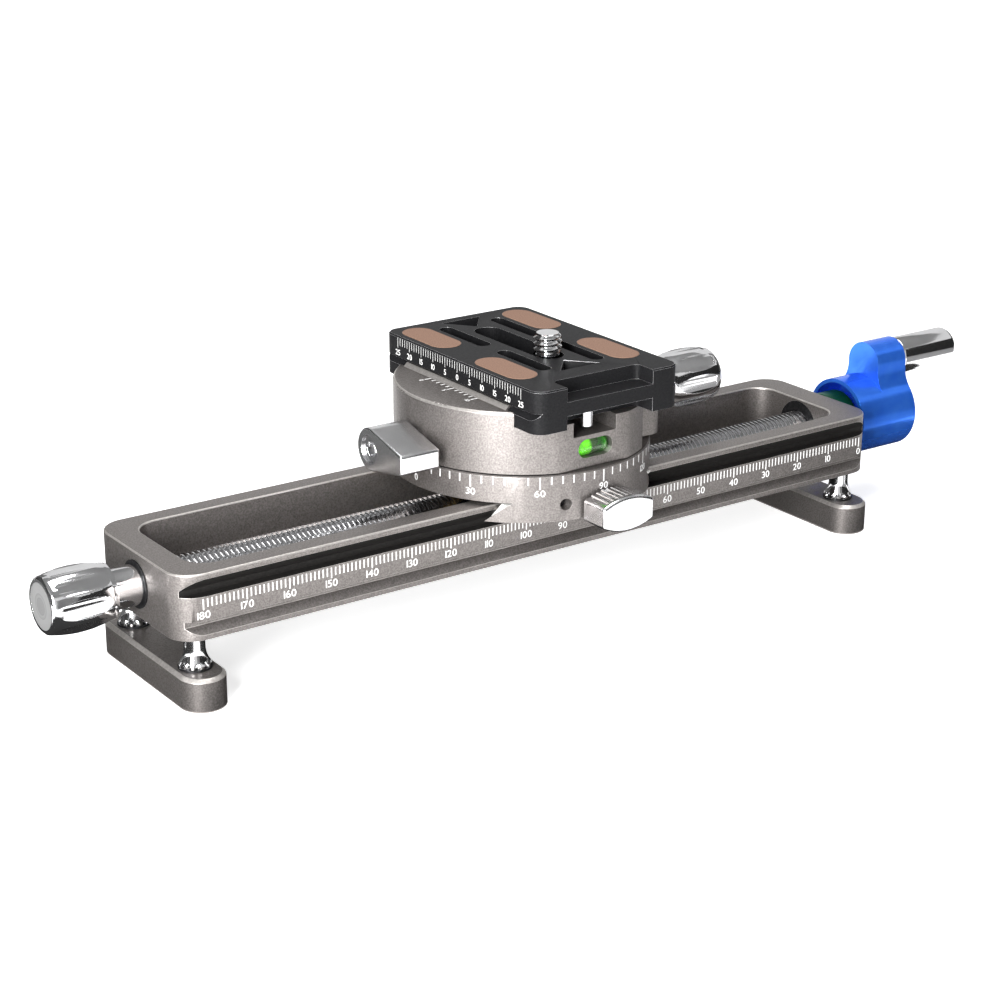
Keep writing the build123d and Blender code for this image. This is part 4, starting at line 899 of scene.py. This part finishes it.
soft_lamp("key", 9.0, 0.16, 0.46, (-0.5, -0.36, 0.215), (0, 0, 0.2))
soft_lamp("overhead", 6.0, 0.7, 0.4, (0.05, 0.0, 0.95), (0, 0, 0.01))


def dark_card(name, corners, level):
    """A matt grey card that only gloss sees: it gives the chrome its darker bands."""
    card, tree, shader = new_finish(name, (level, level, level), 0.0, 1.0)
    shader.inputs["Specular IOR Level"].default_value = 0.0
    flag = flat_sheet(name, corners, card)
    for ray in ("camera", "diffuse", "transmission", "shadow"):
        setattr(flag, "visible_" + ray, False)


def standing(left, right, low, high):
    """Corners of an upright card between two points of the floor plan."""
    return [(*left, low), (*right, low), (*right, high), (*left, high)]


low_z = floor_z + 1 * mm
card_z = floor_z + 0.3 * mm
for side, left, right, high, level in (
        ("front_right", (0.1, -0.75), (0.75, -0.1), 0.36, 0.02),
        ("right", (0.75, -0.1), (0.78, 0.3), 0.5, 0.15),
        ("back", (0.15, 0.78), (-0.15, 0.7), 0.5, 0.15),
        ("back_left", (-0.15, 0.7), (-0.8, 0.05), 0.5, 0.05),
        ("left", (-0.8, 0.05), (-0.75, -0.3), 0.5, 0.12),
        ("front", (-0.2, -0.78), (0.1, -0.75), 0.45, 0.2)):
    dark_card("card_" + side, standing(left, right, low_z, high), level)
for side, left, right, near, far, height, level in (
        ("ceiling", -1.2, 1.2, -1.2, 1.2, 1.1, 0.5),
        ("under", -0.15, 0.15, -0.045, 0.045, card_z, 0.03),
        ("behind", -0.45, -0.05, 0.045, 0.4, card_z, 0.12),
        ("behind_right", 0.05, 0.7, 0.045, 0.7, card_z, 0.15),
        ("before_right", 0.1, 0.6, -0.5, -0.05, card_z, 0.3)):
    dark_card("card_" + side, lying(left, right, near, far, height), level)


def studio_world():
    """Plain grey room for light; white wherever the camera, gloss or glass sees it."""
    world = bpy.data.worlds.new("studio")
    world.use_nodes = True
    tree = world.node_tree
    room = tree.nodes["Background"]
    room.inputs["Color"].default_value = (1, 1, 1, 1)
    room.inputs["Strength"].default_value = 0.32
    white = tree.nodes.new("ShaderNodeBackground")
    white.inputs["Strength"].default_value = 1.0
    choose = tree.nodes.new("ShaderNodeMixShader")
    tree.links.new(looked_at(tree), choose.inputs["Fac"])
    tree.links.new(room.outputs["Background"], choose.inputs[1])
    tree.links.new(white.outputs["Background"], choose.inputs[2])
    tree.links.new(choose.outputs["Shader"], tree.nodes["World Output"].inputs["Surface"])
    return world


bpy.context.scene.world = studio_world()
bpy.context.scene.view_settings.view_transform = "Standard"
